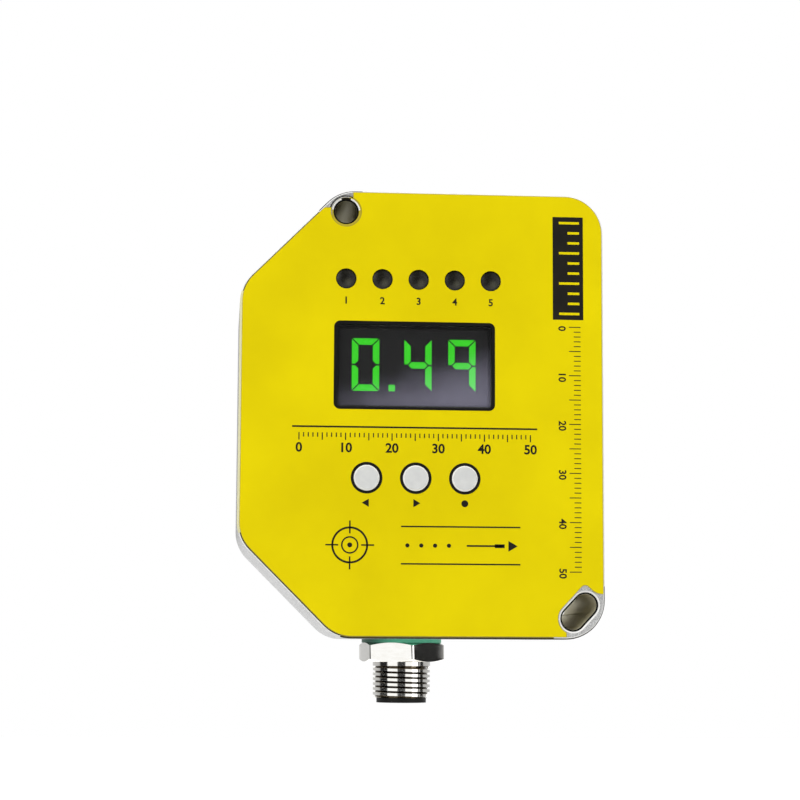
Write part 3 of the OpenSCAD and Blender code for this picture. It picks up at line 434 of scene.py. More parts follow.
tone = mix_tones(tree, mottle["Grain"], *SKIN_TONES)
for mask, over in ((chamfer, edge_light_and_shade), (groove, PAINTED_SHADE_DARK), (glue, GLUE_AND_SHADE_YELLOW), (mouth, mouth_light_and_shade),
                   (ring, RING_SHADE_TONE), (bore, bore_shade_tone)):
    tone = mix_tones(tree, mask, tone, over)
tree.links.new(tone, shader.inputs["Base Color"])
dull = both(tree, add_math(tree, "MAXIMUM", mouth, chamfer), outside(tree, bore))
metallic = both(tree, between(tree, bore, SKIN_METALLIC, 1.0), outside(tree, dull))
tree.links.new(metallic, shader.inputs["Metallic"])
share = add_math(tree, "ADD", both(tree, bore, between(tree, at_hole, *WALL_ROUGH)), outside(tree, bore))
rough = add_math(tree, "MULTIPLY", between(tree, mottle["Clouds"], *SKIN_ROUGH), share)
tree.links.new(add_math(tree, "MAXIMUM", rough, dull), shader.inputs["Roughness"])
shader.inputs["Specular IOR Level"].default_value = 0.12
add_relief(tree, shader, mottle["Grain"], depth=0.02)
dress(cast_metal, "housing")


# The label is a yellow polyester film with a faint satin grain. It is die-cut to the front
# face, round the window, the lamps and the buttons, and glued on.
FILM_TONES = [linear(226, 205, 2), linear(238, 218, 2)]
# The band round the label's outline is its cut edge, toned darker with painted shade along it
CUT_AND_SHADE_TONES = [linear(168, 150, 34), linear(194, 176, 50)]
CUT_AND_SHADE_BAND = 0.11
# Two points of a mesh this close are one, and so are two of the label that are this close
SAME_POINT = 0.001
SAME_CORNER = 0.03
SIDE_ON = 0.1
SPUR_ANGLE = math.radians(2)


def add_gloss(tree, shader, mottle, rough):
    """Roughness that runs between two values with the grain."""
    tree.links.new(between(tree, mottle["Grain"], *rough), shader.inputs["Roughness"])


def plain_finish(name, tones, rough, grain, cloud, relief, stretch=(1.0, 1.0, 1.0), **sockets):
    """A finish whose tone follows its clouds, and whose gloss and relief follow its grain."""
    material, tree, shader, mottle = start_finish(name, grain, cloud, stretch)
    tree.links.new(mix_tones(tree, mottle["Clouds"], *tones), shader.inputs["Base Color"])
    add_gloss(tree, shader, mottle, rough)
    add_relief(tree, shader, mottle["Grain"], relief)
    set_inputs(shader, {key.replace("_", " "): value for key, value in sockets.items()})
    return material


def joined_copy(name):
    """A bmesh of a CAD node, with its loose triangles joined."""
    bm = bmesh.new()
    bm.from_mesh(nodes[name].data)
    bmesh.ops.remove_doubles(bm, verts=bm.verts, dist=SAME_POINT * MM)
    return bm


def outer_rim(bm):
    """The edges round the outside of the front face."""
    corners = set()
    for edge in bm.edges:
        turns = [face.normal.y for face in edge.link_faces]
        if len(turns) == 2 and min(turns) < -SQUARE_ON and max(turns) > -SIDE_ON:
            corners.add(edge)
    open_ends = [min(corners, key=lambda edge: min(vert.co.x for vert in edge.verts))]
    rim = set(open_ends)
    while open_ends:
        last = open_ends.pop()
        nearby = {edge for vert in last.verts for edge in vert.link_edges if edge in corners} - rim
        rim |= nearby
        open_ends.extend(nearby)
    return rim


def trim_spurs(bm):
    """Folds back the corners at which the outline of the front face runs out and returns on itself."""
    rim = outer_rim(bm)
    spurs = []
    for vert in {vert for edge in rim for vert in edge.verts}:
        ends = [edge.other_vert(vert) for edge in vert.link_edges if edge in rim]
        ends.sort(key=lambda end: (end.co - vert.co).length)
        if len(ends) == 2 and (ends[0].co - vert.co).angle(ends[1].co - vert.co) < SPUR_ANGLE:
            spurs.append((vert, ends[0]))
    for vert, nearest in spurs:
        bmesh.ops.pointmerge(bm, verts=[vert, nearest], merge_co=nearest.co)


def add_piece(name, bm, *materials, body="sensor", slot=None, smooth=None):
    """Turns a finished mesh into a piece that rides on a body, smooth where it bends less than an angle."""
    mesh = bpy.data.meshes.new(name)
    bm.to_mesh(mesh)
    bm.free()
    for material in materials:
        mesh.materials.append(material)
    if smooth:
        mesh.shade_smooth()
        mesh.set_sharp_from_angle(angle=math.radians(smooth))
    piece = bpy.data.objects.new(name, mesh)
    bpy.context.scene.collection.objects.link(piece)
    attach(piece, body)
    return piece


film = plain_finish("yellow_film", FILM_TONES, rough=(0.36, 0.44), grain=0.12, cloud=26.0, relief=0.002,
                    IOR=1.5, Specular_IOR_Level=0.06)
film_cut_and_shade = plain_finish("film_cut_and_shade", CUT_AND_SHADE_TONES, rough=(0.5, 0.6), grain=0.2, cloud=3.0, relief=0.004,
                        Specular_IOR_Level=0.2)
bm = joined_copy("front_label")
bmesh.ops.remove_doubles(bm, verts=bm.verts, dist=SAME_CORNER * MM)
trim_spurs(bm)
bm.normal_update()
front = [face for face in bm.faces if face.normal.y < -SQUARE_ON]
bmesh.ops.inset_region(bm, faces=front, thickness=CUT_AND_SHADE_BAND * MM, use_boundary=True, use_even_offset=True)
loops = [edge for edge in bm.edges if sum(face in front for face in edge.link_faces) == 1]
bmesh.ops.delete(bm, geom=front, context="FACES_ONLY")
bmesh.ops.delete(bm, geom=[edge for edge in bm.edges if not edge.link_faces], context="EDGES")
bmesh.ops.triangle_fill(bm, edges=loops, use_beauty=True, normal=(0.0, -1.0, 0.0))
for edge in outer_rim(bm):
    for face in edge.link_faces:
        face.material_index = 1
label_film = add_piece("label_film", bm, film, film_cut_and_shade, slot="yellow_film")
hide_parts("front_label")


# The print is black ink on the film: numbers at the lamps, a scale and a line under the window,
# marks at the buttons, a bar and a scale at the right, and an arrow to the side that measures.
INK_TONES = [linear(14, 12, 6), linear(24, 20, 11)]
INK_T = 0.02
# How far the middle of the first layer of ink lies before the film, as a share of the ink's thickness
INK_LIFT = 0.25
# Height of a numeral in type of size one
NUMERAL = 0.72
TO_LEFT = math.radians(90)
TO_RIGHT = math.radians(-90)
label_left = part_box("housing")[0].x / MM
label_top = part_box("housing")[1].z / MM
label_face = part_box("front_label")[0].y / MM
ink = plain_finish("black_ink", INK_TONES, rough=(0.4, 0.5), grain=0.1, cloud=5.0, relief=0.001,
                   Specular_IOR_Level=0.2)


def on_label(across, down, turn=0.0, layer=0):
    """Place on the label: millimetres from its left side and below its top side, a turn and an ink layer."""
    proud = INK_T * (INK_LIFT + layer / 2)
    place = Vector((label_left + across, label_face - proud, label_top - down)) * MM
    stood_up = Matrix.Rotation(math.radians(90), 4, "X")
    return Matrix.Translation(place) @ stood_up @ Matrix.Rotation(turn, 4, "Z")


def print_bar(bm, across, down, width, height, layer=0):
    size = Matrix.Diagonal((width * MM, height * MM, INK_T * MM, 1.0))
    bmesh.ops.create_cube(bm, size=1.0, matrix=on_label(across, down, layer=layer) @ size)


def print_disc(bm, across, down, radius, sides=48, turn=0.0):
    bmesh.ops.create_cone(bm, cap_ends=True, segments=sides, radius1=radius * MM, radius2=radius * MM,
                          depth=INK_T * MM, matrix=on_label(across, down, turn))


def print_triangle(bm, across, down, radius, turn):
    print_disc(bm, across, down, radius, sides=3, turn=turn)


def print_ring(bm, across, down, radius, width):
    """A thin section, spun round the middle of the ring."""
    size = Matrix.Diagonal((width * MM, INK_T * MM, 1.0, 1.0))
    section = Matrix.Translation((radius * MM, 0.0, 0.0)) @ Matrix.Rotation(math.radians(90), 4, "X") @ size
    place = on_label(across, down)
    corners = bmesh.ops.create_grid(bm, x_segments=1, y_segments=1, size=0.5, matrix=place @ section)["verts"]
    face = corners[0].link_faces[0]
    edges = list(face.edges)
    bmesh.ops.delete(bm, geom=[face], context="FACES_ONLY")
    bmesh.ops.spin(bm, geom=corners + edges, cent=place.translation, axis=(0.0, -1.0, 0.0), angle=2 * math.pi,
                   steps=96, use_merge=True)
    bmesh.ops.recalc_face_normals(bm, faces=bm.faces)


def print_number(bm, number, across, down, height, bold, turn=0.0):
    curve = bpy.data.curves.new("number", "FONT")
    curve.body = str(number)
    curve.align_x = "CENTER"
    curve.align_y = "CENTER"
    curve.size = height * MM / NUMERAL
    curve.extrude = INK_T * MM / 2
    curve.offset = bold * MM
    curve.resolution_u = 4
    holder = bpy.data.objects.new("number", curve)
    mesh = bpy.data.meshes.new_from_object(holder)
    mesh.transform(on_label(across, down, turn))
    bm.from_mesh(mesh)
    bpy.data.objects.remove(holder)
    bpy.data.curves.remove(curve)
    bpy.data.meshes.remove(mesh)


LAMP_COUNT = 5
LAMP_FIRST = 21.5
LAMP_STEP = 7.4
bm = bmesh.new()
for i in range(LAMP_COUNT):
    print_number(bm, i + 1, across=LAMP_FIRST + i * LAMP_STEP, down=22.9, height=1.45, bold=0.05)
add_piece("print_lamp_numbers", bm, ink)

bm = bmesh.new()
print_bar(bm, across=35.7, down=48.7, width=49.8, height=0.35)
add_piece("print_divider", bm, ink)

TICKS = 51
TICKS_TO_LONG_ONE = 5
TICKS_TO_NUMBER = 10
SCALE_LEFT = 12.2
SCALE_STEP = 0.94
SCALE_TOP = 49.9
bm = bmesh.new()
for i in range(TICKS):
    length = 0.9 if i % TICKS_TO_LONG_ONE else 1.5
    print_bar(bm, across=SCALE_LEFT + i * SCALE_STEP, down=SCALE_TOP + length / 2, width=0.22, height=length)
for i in range(0, TICKS, TICKS_TO_NUMBER):
    print_number(bm, i, across=SCALE_LEFT + i * SCALE_STEP, down=53.0, height=1.9, bold=0.07)
add_piece("print_scale", bm, ink)

BUTTON_FIRST = 25.9
BUTTON_STEP = 9.95
BUTTON_MARK_DOWN = 64.0
bm = bmesh.new()
print_triangle(bm, BUTTON_FIRST, BUTTON_MARK_DOWN, radius=0.95, turn=TO_LEFT)
print_triangle(bm, BUTTON_FIRST + BUTTON_STEP, BUTTON_MARK_DOWN, radius=0.95, turn=TO_RIGHT)
print_disc(bm, BUTTON_FIRST + 2 * BUTTON_STEP, BUTTON_MARK_DOWN, radius=0.7)
add_piece("print_button_marks", bm, ink)

bm = bmesh.new()
print_bar(bm, across=67.05, down=15.4, width=6.3, height=21.4)
add_piece("print_side_bar", bm, ink)

BAR_MARKS = 10
BAR_MARKS_TO_LONG_ONE = 3
BAR_MARKS_RIGHT = 69.4
BAR_MARKS_TOP = 5.95
BAR_MARKS_STEP = 2.1
bm = bmesh.new()
for i in range(BAR_MARKS):
    length = 2.4 if i % BAR_MARKS_TO_LONG_ONE else 4.2
    print_bar(bm, across=BAR_MARKS_RIGHT - length / 2, down=BAR_MARKS_TOP + i * BAR_MARKS_STEP,
              width=length, height=0.5, layer=1)
add_piece("print_bar_marks", bm, film)

SIDE_SCALE_RIGHT = 69.6
SIDE_SCALE_TOP = 27.6
SIDE_SCALE_STEP = 1.0
SIDE_NUMBERS_LOWER = 0.3
bm = bmesh.new()
for i in range(TICKS):
    length = 1.4 if i % TICKS_TO_LONG_ONE else 2.4
    print_bar(bm, across=SIDE_SCALE_RIGHT - length / 2, down=SIDE_SCALE_TOP + i * SIDE_SCALE_STEP,
              width=length, height=0.18)
for i in range(0, TICKS, TICKS_TO_NUMBER):
    print_number(bm, i, across=65.7, down=SIDE_SCALE_TOP + SIDE_NUMBERS_LOWER + i * SIDE_SCALE_STEP,
                 height=1.5, bold=0.05, turn=TO_RIGHT)
add_piece("print_side_scale", bm, ink)

# The arrow and the target stand side by side, this far down
LOWEST_ROW = 72.5
DOTS = 4
DOT_FIRST = 34.2
DOT_STEP = 2.8
bm = bmesh.new()
for down in (68.7, 76.2):
    print_bar(bm, across=45.0, down=down, width=24.2, height=0.3)
for i in range(DOTS):
    print_disc(bm, DOT_FIRST + i * DOT_STEP, LOWEST_ROW, radius=0.42, sides=24)
print_bar(bm, across=49.9, down=LOWEST_ROW, width=7.4, height=0.35)
print_bar(bm, across=52.9, down=LOWEST_ROW, width=2.0, height=0.75)
print_triangle(bm, 55.3, LOWEST_ROW, radius=1.25, turn=TO_RIGHT)
add_piece("print_arrow", bm, ink)

TARGET_ACROSS = 22.6
TARGET_ARM = 2.6
TARGET_ARM_W = 0.3
TARGET_ARM_OUT = 3.6
bm = bmesh.new()
print_ring(bm, TARGET_ACROSS, LOWEST_ROW, radius=3.5, width=0.4)
print_ring(bm, TARGET_ACROSS, LOWEST_ROW, radius=1.6, width=0.3)
for side in (-1, 1):
    print_bar(bm, TARGET_ACROSS + side * TARGET_ARM_OUT, LOWEST_ROW, width=TARGET_ARM, height=TARGET_ARM_W)
for side in (-1, 1):
    print_bar(bm, TARGET_ACROSS, LOWEST_ROW + side * TARGET_ARM_OUT, width=TARGET_ARM_W, height=TARGET_ARM)
print_disc(bm, TARGET_ACROSS, LOWEST_ROW, radius=0.5, sides=24)
add_piece("print_target", bm, ink)


# The display sits in a black frame behind smoked glass: a black block with light bars. The bars
# of the reading shine green, and the others stay dark. A painted reflection lightens the glass
# towards its lower right.
PLASTIC_TONES = [linear(8, 8, 7), linear(16, 15, 13)]
DISPLAY_TONES = [linear(16, 15, 19), linear(22, 21, 26)]
DARK_TONES = [linear(20, 20, 24), linear(24, 24, 28)]
GREEN_SEEN = linear(50, 208, 26)
GREEN_LOWEST = [part * 0.93 for part in GREEN_SEEN]
GLASS_CLEAR = linear(50, 50, 50)
GLASS_REFLECTION_TONE = linear(158, 155, 176)
# A light line round the pane's edge: a painted highlight
GLASS_EDGE_HIGHLIGHTS = [linear(70, 72, 68), linear(120, 122, 116)]
GLASS_EDGE_W = 0.22
GLASS_ALPHA = 0.38
# The bars are seen through both faces of the pane
GLASS_THROUGH = (1 - GLASS_ALPHA) ** 2
# The painted reflection grows down the pane, and half as fast across it, between these two sums
REFLECTION_ACROSS = 0.5
REFLECTION_CLOUD = 0.12
REFLECTION_RANGE = (0.75, 1.45)
black_plastic = plain_finish("black_plastic", PLASTIC_TONES, rough=(0.42, 0.55), grain=0.15, cloud=4.0,
                             relief=0.006, Specular_IOR_Level=0.15)
dress(black_plastic, "display_frame", "button_ring_left", "button_ring_middle", "button_ring_right",
      "board_header", "connector_insert")
display_body = plain_finish("display_body", DISPLAY_TONES, rough=(0.4, 0.55), grain=0.3, cloud=5.0,
                            relief=0.004)
dress(display_body, "display_module")
dark_bar = plain_finish("dark_bar", DARK_TONES, rough=(0.4, 0.5), grain=0.2, cloud=3.0, relief=0.001)
dress(dark_bar, "dark_segments")

lit_green, tree, shader, mottle = start_finish("lit_green", grain=0.4, cloud=2.5)
set_inputs(shader, {"Base Color": grey(0.0), "Roughness": 0.4, "Emission Strength": 1 / GLASS_THROUGH})
tree.links.new(mix_tones(tree, mottle["Clouds"], GREEN_SEEN, GREEN_LOWEST), shader.inputs["Emission Color"])
dress(lit_green, "lit_segments")

glass_low, glass_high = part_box("display_window")
glass_w = glass_high.x - glass_low.x
glass_h = glass_high.z - glass_low.z
smoked_glass, tree, shader, mottle = start_finish("smoked_glass", grain=0.3, cloud=7.0)
mapping = add_node(tree, "ShaderNodeMapping", vector_type="TEXTURE")
set_inputs(mapping, {"Location": (glass_low.x, 0.0, glass_high.z), "Scale": (glass_w, 1.0, -glass_h)})
tree.links.new(add_node(tree, "ShaderNodeTexCoord").outputs["Object"], mapping.inputs["Vector"])
pane = split_axes(tree, mapping.outputs[0])
slope = add_math(tree, "ADD", add_math(tree, "MULTIPLY", pane["X"], REFLECTION_ACROSS), pane["Z"])
slope = add_math(tree, "ADD", slope, add_math(tree, "MULTIPLY", mottle["Clouds"], REFLECTION_CLOUD))
glass_reflection = ease(tree, slope, *REFLECTION_RANGE)
margins = []
for axis, side in (("X", glass_w), ("Z", glass_h)):
    centred = add_math(tree, "ABSOLUTE", add_math(tree, "SUBTRACT", pane[axis], 0.5))
    margins.append(add_math(tree, "MULTIPLY", add_math(tree, "SUBTRACT", 0.5, centred), side))
edge = less(tree, add_math(tree, "MINIMUM", *margins), GLASS_EDGE_W * MM)
inside = mix_tones(tree, glass_reflection, GLASS_CLEAR, GLASS_REFLECTION_TONE)
tone = mix_tones(tree, edge, inside, mix_tones(tree, glass_reflection, *GLASS_EDGE_HIGHLIGHTS))
tree.links.new(tone, shader.inputs["Base Color"])
set_inputs(shader, {"Roughness": 0.08, "IOR": 1.5, "Alpha": GLASS_ALPHA})
dress(smoked_glass, "display_window")


# Five lamps: a dark smoked lens with a light guide behind it, over a chip on the board. The dome
# is painted darkest at its rim, a painted shade, and with a faint light spot low on the right, a painted
# reflection.
LAMP_TONES = [linear(22, 21, 16), linear(30, 29, 23)]
LAMP_RIM_SHADE_TONE = linear(8, 8, 6)
LAMP_REFLECTION_TONE = linear(62, 61, 50)
LAMP_REFLECTION = (0.45, -0.75)
# Distances over which the painted shade darkens the dome to its rim, and the painted reflection brightens to
# its middle
LAMP_RIM_SHADE = (1.55, 1.85)
LAMP_REFLECTION_FADE = (1.2, 0.1)
CHIP_TONES = [linear(226, 222, 208), linear(238, 235, 224)]


def object_axes(tree):
    """The X, Y and Z sockets of a point's place on the object."""
    return split_axes(tree, add_node(tree, "ShaderNodeTexCoord").outputs["Object"])


def nearest_offset(tree, coordinate, first, step):
    """Distance along one direction from the nearest of a row of places a step apart."""
    offset = add_math(tree, "SUBTRACT", coordinate, first)
    return add_math(tree, "WRAP", offset, step / 2, -step / 2)


lamp_low, lamp_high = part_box("indicator_lens_1")
lamp_lens, tree, shader, mottle = start_finish("lamp_lens", grain=0.3, cloud=1.2)
place = object_axes(tree)
across = nearest_offset(tree, place["X"], (lamp_low.x + lamp_high.x) / 2, LAMP_STEP * MM)
upward = add_math(tree, "SUBTRACT", place["Z"], (lamp_low.z + lamp_high.z) / 2)
rim = ease(tree, reach(tree, across, upward), *(radius * MM for radius in LAMP_RIM_SHADE))
from_lamp_reflection = reach(tree, add_math(tree, "SUBTRACT", across, LAMP_REFLECTION[0] * MM),
                  add_math(tree, "SUBTRACT", upward, LAMP_REFLECTION[1] * MM))
lamp_reflection = ease(tree, from_lamp_reflection, *(radius * MM for radius in LAMP_REFLECTION_FADE))
tone = mix_tones(tree, mottle["Clouds"], *LAMP_TONES)
tone = mix_tones(tree, lamp_reflection, tone, LAMP_REFLECTION_TONE)
tree.links.new(mix_tones(tree, rim, tone, LAMP_RIM_SHADE_TONE), shader.inputs["Base Color"])
add_gloss(tree, shader, mottle, rough=(0.22, 0.32))
set_inputs(shader, {"IOR": 1.45, "Specular IOR Level": 0.3})
dress(lamp_lens, *[f"indicator_lens_{i + 1}" for i in range(LAMP_COUNT)])
lamp_chip = plain_finish("lamp_chip", CHIP_TONES, rough=(0.4, 0.5), grain=0.2, cloud=1.0, relief=0.002)
dress(lamp_chip, "indicator_leds")


# Three push buttons: a moulded grey cap that slides in a black guide ring, with a collar behind
# the ring and a stem that presses the plunger of its switch. The cap's edge is painted white, a painted
# highlight.
CAP_TONES = [linear(211, 212, 210), linear(219, 220, 217)]
CAP_HIGHLIGHT_TONE = linear(250, 250, 248)
CAP_HIGHLIGHT_R = 2.33
PLUNGER_TONES = [linear(120, 70, 40), linear(136, 82, 48)]
SWITCH_TONES = [linear(30, 32, 34), linear(40, 42, 44)]
cap_low, cap_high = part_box("button_left")
button_grey, tree, shader, mottle = start_finish("button_grey", grain=0.2, cloud=1.6)
place = object_axes(tree)
across = nearest_offset(tree, place["X"], (cap_low.x + cap_high.x) / 2, BUTTON_STEP * MM)
upward = add_math(tree, "SUBTRACT", place["Z"], (cap_low.z + cap_high.z) / 2)
rim = add_math(tree, "GREATER_THAN", reach(tree, across, upward), CAP_HIGHLIGHT_R * MM)
tone = mix_tones(tree, mottle["Clouds"], *CAP_TONES)
tree.links.new(mix_tones(tree, rim, tone, CAP_HIGHLIGHT_TONE), shader.inputs["Base Color"])
add_gloss(tree, shader, mottle, rough=(0.45, 0.58))
shader.inputs["Specular IOR Level"].default_value = 0.25
add_relief(tree, shader, mottle["Grain"], depth=0.006)
dress(button_grey, "button_left", "button_middle", "button_right")
plunger_plastic = plain_finish("plunger_plastic", PLUNGER_TONES, rough=(0.4, 0.5), grain=0.2, cloud=1.0,
                               relief=0.004)
dress(plunger_plastic, "plunger_left", "plunger_middle", "plunger_right")
switch_plastic = plain_finish("switch_plastic", SWITCH_TONES, rough=(0.4, 0.55), grain=0.2, cloud=2.0,
                              relief=0.006)
dress(switch_plastic, "switch_left", "switch_middle", "switch_right")


# The connector is turned from brass and plated with nickel: a hexagon, a short neck and a fine
# thread for the cable's nut. A green seal ring lies above it, and a locknut holds it from inside.
NICKEL_TONES = [linear(248, 246, 240), linear(254, 253, 249)]
# The dark in the thread's groove is painted shade
GROOVE_SHADE_TONE = linear(70, 62, 48)
CREST_R = 5.95
ROOT_R = 5.4
# Radii between which the painted shade in the thread's groove gives way to bright metal
GROOVE_SHADE_FADE = (5.42, 5.7)
# Heights above the thread's top: the shell is drawn in up to the first of them, it is cut open at
# the second, and its metal is free of the groove's painted shade from the third
DRAWN_TO = 0.01
CUT_AT = 0.04
BRIGHT_FROM = 0.05
SAME_PLANE = 0.0001
FLAT_ANGLE = math.radians(0.3)
HEX_CORNER = 0.95
# The hexagon's corners are the edges that are taller and further out than these
HEX_LEAST_H = 2
HEX_LEAST_R = 9
THREAD_LENGTH = 6.5
THREAD_PITCH = 1.0
THREAD_TURNS = 6.6
THREAD_STEPS = 96
# The middle of the ridge starts this far below the thread's top, and all of it stays this far above
# the thread's lower end
THREAD_LEAD = 0.1
THREAD_SPARE = 0.02
# Half the width of the ridge at its crest and at its foot, and how deep the foot is sunk
RIDGE_TOP = 0.28 * THREAD_PITCH
RIDGE_FOOT = 0.45 * THREAD_PITCH + 0.03
RIDGE_SUNK = 0.05
# Radius of the ridge at both ends of the thread, and how much it gains there in a millimetre
RIDGE_END_R = ROOT_R - 0.1
RIDGE_RISE = 3
shell_low, shell_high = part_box("connector_shell")
plug_x = (shell_low.x + shell_high.x) / 2
plug_y = (shell_low.y + shell_high.y) / 2
thread_end = shell_low.z / MM
thread_start = thread_end + THREAD_LENGTH

nickel, tree, shader, mottle = start_finish("nickel", grain=0.25, cloud=2.0, stretch=(1.0, 1.0, 3.0))
place = object_axes(tree)
from_axis = reach(tree, add_math(tree, "SUBTRACT", place["X"], plug_x),
                  add_math(tree, "SUBTRACT", place["Y"], plug_y))
# Painted shade in the thread's groove, fading out towards the crest
crest = ease(tree, from_axis, *(radius * MM for radius in GROOVE_SHADE_FADE))
above = add_math(tree, "GREATER_THAN", place["Z"], (thread_start + BRIGHT_FROM) * MM)
plated = mix_tones(tree, mottle["Clouds"], *NICKEL_TONES)
tone = mix_tones(tree, add_math(tree, "MAXIMUM", crest, above), GROOVE_SHADE_TONE, plated)
tree.links.new(tone, shader.inputs["Base Color"])
add_gloss(tree, shader, mottle, rough=(0.04, 0.09))
shader.inputs["Metallic"].default_value = 1.0
add_relief(tree, shader, mottle["Grain"], depth=0.0008)
dress(nickel, "connector_locknut")


def from_plug_axis(vert):
    return Vector((vert.co.x - plug_x, vert.co.y - plug_y))


def pull_in(vert, limit):
    """Moves a point to within a distance of the connector's axis."""
    away = from_plug_axis(vert)
    if away.length > limit:
        away *= limit / away.length
        vert.co.x = plug_x + away.x
        vert.co.y = plug_y + away.y


# The CAD shell, with its hexagon's corners worn and its thread's cylinder drawn in to the root
bm = joined_copy("connector_shell")
bmesh.ops.dissolve_limit(bm, angle_limit=FLAT_ANGLE, verts=bm.verts, edges=bm.edges)
corners = [edge for edge in bm.edges if abs(edge.verts[0].co.z - edge.verts[1].co.z) > HEX_LEAST_H * MM
           and min(from_plug_axis(vert).length for vert in edge.verts) > HEX_LEAST_R * MM]
bmesh.ops.bevel(bm, geom=corners, offset=HEX_CORNER * MM, offset_type="OFFSET", segments=5, profile=0.5,
                affect="EDGES", material=-1)
cut = bmesh.ops.bisect_plane(bm, geom=bm.verts[:] + bm.edges[:] + bm.faces[:], dist=SAME_PLANE * MM,
                             plane_co=(0.0, 0.0, (thread_start + CUT_AT) * MM), plane_no=(0.0, 0.0, 1.0))
bmesh.ops.split_edges(bm, edges=[part for part in cut["geom_cut"] if isinstance(part, bmesh.types.BMEdge)])
for vert in bm.verts:
    if vert.co.z < (thread_start + DRAWN_TO) * MM:
        pull_in(vert, ROOT_R * MM)

# The thread's ridge: one section spun down the cylinder, and lowered towards both of its ends
ridge = bmesh.new()
section = bmesh.ops.create_grid(ridge, x_segments=1, y_segments=1, size=0.5)["verts"]
for vert in section:
    radius, half_w = (CREST_R, RIDGE_TOP) if vert.co.x > 0 else (ROOT_R - RIDGE_SUNK, RIDGE_FOOT)
    side = 1 if vert.co.y > 0 else -1
    start = Vector((plug_x, plug_y, (thread_start - THREAD_LEAD) * MM))
    vert.co = start + Vector((radius, 0.0, side * half_w)) * MM
bmesh.ops.spin(ridge, geom=ridge.verts[:] + ridge.edges[:] + ridge.faces[:], cent=(plug_x, plug_y, 0.0),
               axis=(0.0, 0.0, 1.0), dvec=(0.0, 0.0, -THREAD_PITCH * MM / THREAD_STEPS),
               angle=2 * math.pi * THREAD_TURNS, steps=round(THREAD_TURNS * THREAD_STEPS))
for vert in ridge.verts:
    room = min(vert.co.z / MM - thread_end, thread_start - vert.co.z / MM)
    pull_in(vert, (RIDGE_END_R + RIDGE_RISE * max(room, 0.0)) * MM)
    vert.co.z = max(vert.co.z, (thread_end + THREAD_SPARE) * MM)
bmesh.ops.recalc_face_normals(ridge, faces=ridge.faces)
ridge_mesh = bpy.data.meshes.new("ridge")
ridge.to_mesh(ridge_mesh)
ridge.free()
bm.from_mesh(ridge_mesh)
bpy.data.meshes.remove(ridge_mesh)
plug_shell = add_piece("threaded_shell", bm, nickel, slot="nickel", smooth=28)
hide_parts("connector_shell")

SEAL_TONES = [linear(70, 168, 132), linear(86, 186, 148)]
SEAL_SHADE_TONE = linear(20, 70, 52)
# Across the seal, from its middle: painted shade darkens it up to the first place and leaves it from the
# second
SEAL_SHADE_SPAN = (-8.0, -1.0)
GOLD_TONES = [linear(226, 186, 96), linear(238, 202, 116)]
seal_green, tree, shader, mottle = start_finish("seal_green", grain=0.2, cloud=2.0)
# The seal is painted darker towards its left: painted shade
out_of_shade = ease(tree, object_axes(tree)["X"], *(plug_x + across * MM for across in SEAL_SHADE_SPAN))
tone = mix_tones(tree, out_of_shade, SEAL_SHADE_TONE, mix_tones(tree, mottle["Clouds"], *SEAL_TONES))
tree.links.new(tone, shader.inputs["Base Color"])
add_gloss(tree, shader, mottle, rough=(0.4, 0.55))
add_relief(tree, shader, mottle["Grain"], depth=0.01)
dress(seal_green, "connector_gasket")
contact_gold = plain_finish("contact_gold", GOLD_TONES, rough=(0.14, 0.24), grain=0.2, cloud=1.0,
                            relief=0.002, Metallic=1.0)
dress(contact_gold, "contact_pins")


# The back is closed by a rolled aluminium plate, milled to fit a recess in the casting. It lies
# on a black rubber gasket and is held by six countersunk screws of plated steel.
COVER_TONES = [linear(186, 187, 190), linear(204, 205, 208)]
RUBBER_TONES = [linear(26, 26, 26), linear(38, 38, 38)]
STEEL_TONES = [linear(168, 168, 170), linear(190, 190, 192)]
cover_metal = plain_finish("cover_metal", COVER_TONES, rough=(0.34, 0.46), grain=0.2, cloud=9.0, relief=0.008,
                           Metallic=0.9)
dress(cover_metal, "rear_cover")
seal_rubber = plain_finish("seal_rubber", RUBBER_TONES, rough=(0.6, 0.75), grain=0.2, cloud=4.0, relief=0.02)
dress(seal_rubber, "rear_gasket", "optics_seal")
screw_steel = plain_finish("screw_steel", STEEL_TONES, rough=(0.22, 0.34), grain=0.15, cloud=1.5,
                           relief=0.004, Metallic=1.0)
dress(screw_steel, "cover_screws", "board_screws")


# The right side looks out through a dark red filter glass. Behind it the black optics block
# holds the receiving lens, and the laser in its brass barrel with a small lens.
RED_TONES = [linear(96, 8, 10), linear(112, 12, 14)]
BLOCK_TONES = [linear(22, 22, 24), linear(30, 30, 32)]
LENS_TONES = [linear(206, 226, 224), linear(214, 232, 230)]
BRASS_TONES = [linear(196, 160, 84), linear(212, 178, 100)]
CAN_TONES = [linear(180, 180, 182), linear(200, 200, 202)]


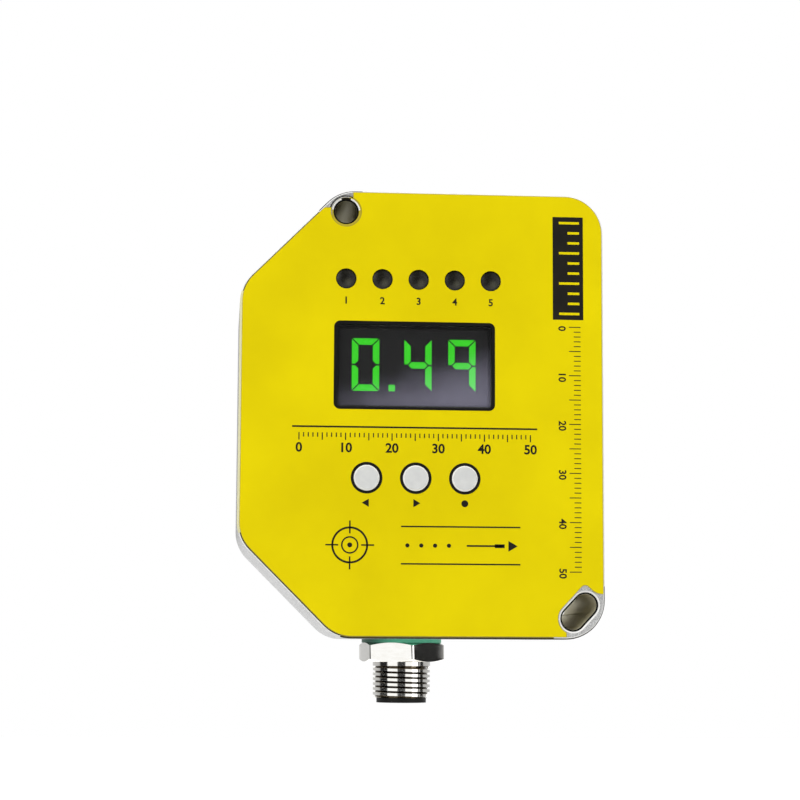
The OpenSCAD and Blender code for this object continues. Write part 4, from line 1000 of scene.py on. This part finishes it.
def clear_finish(name, tones, grain, cloud, **sockets):
    """A glass whose tone follows its clouds."""
    material, tree, shader, mottle = start_finish(name, grain, cloud)
    tree.links.new(mix_tones(tree, mottle["Clouds"], *tones), shader.inputs["Base Color"])
    set_inputs(shader, sockets)
    return material


window_red = clear_finish("window_red", RED_TONES, grain=0.4, cloud=9.0, Roughness=0.05, IOR=1.5, Alpha=0.72)
dress(window_red, "optics_window")
optics_black = plain_finish("optics_black", BLOCK_TONES, rough=(0.6, 0.75), grain=0.2, cloud=4.0, relief=0.02)
dress(optics_black, "optics_block")
lens_glass = clear_finish("lens_glass", LENS_TONES, grain=0.5, cloud=6.0, Roughness=0.03, IOR=1.52,
                          Alpha=0.45)
dress(lens_glass, "receiver_lens", "collimator_lens")
turned_brass = plain_finish("turned_brass", BRASS_TONES, rough=(0.2, 0.32), grain=0.1, cloud=3.0,
                            relief=0.004, stretch=(8.0, 1.0, 1.0), Metallic=1.0)
dress(turned_brass, "laser_barrel", "board_spacers")
can_metal = plain_finish("can_metal", CAN_TONES, rough=(0.2, 0.3), grain=0.2, cloud=1.5, relief=0.003,
                         Metallic=1.0)
dress(can_metal, "laser_diode", "photodiode")


# The electronics: two green boards on spacers, a small board for the receiver, chips, and
# the lead wires from the contacts to the main board.
BOARD_TONES = [linear(18, 74, 38), linear(24, 88, 46)]
BLACK_CHIP_TONES = [linear(24, 24, 26), linear(34, 34, 36)]
WIRE_TONES = [linear(196, 60, 44), linear(212, 74, 56)]
board_green = plain_finish("board_green", BOARD_TONES, rough=(0.32, 0.44), grain=0.3, cloud=6.0, relief=0.006)
dress(board_green, "display_board", "main_board", "receiver_board")
chip_black = plain_finish("chip_black", BLACK_CHIP_TONES, rough=(0.45, 0.6), grain=0.2, cloud=3.0,
                          relief=0.008)
dress(chip_black, "main_board_parts")
wire_jacket = plain_finish("wire_jacket", WIRE_TONES, rough=(0.4, 0.5), grain=0.2, cloud=2.0, relief=0.003)
dress(wire_jacket, "lead_wires")
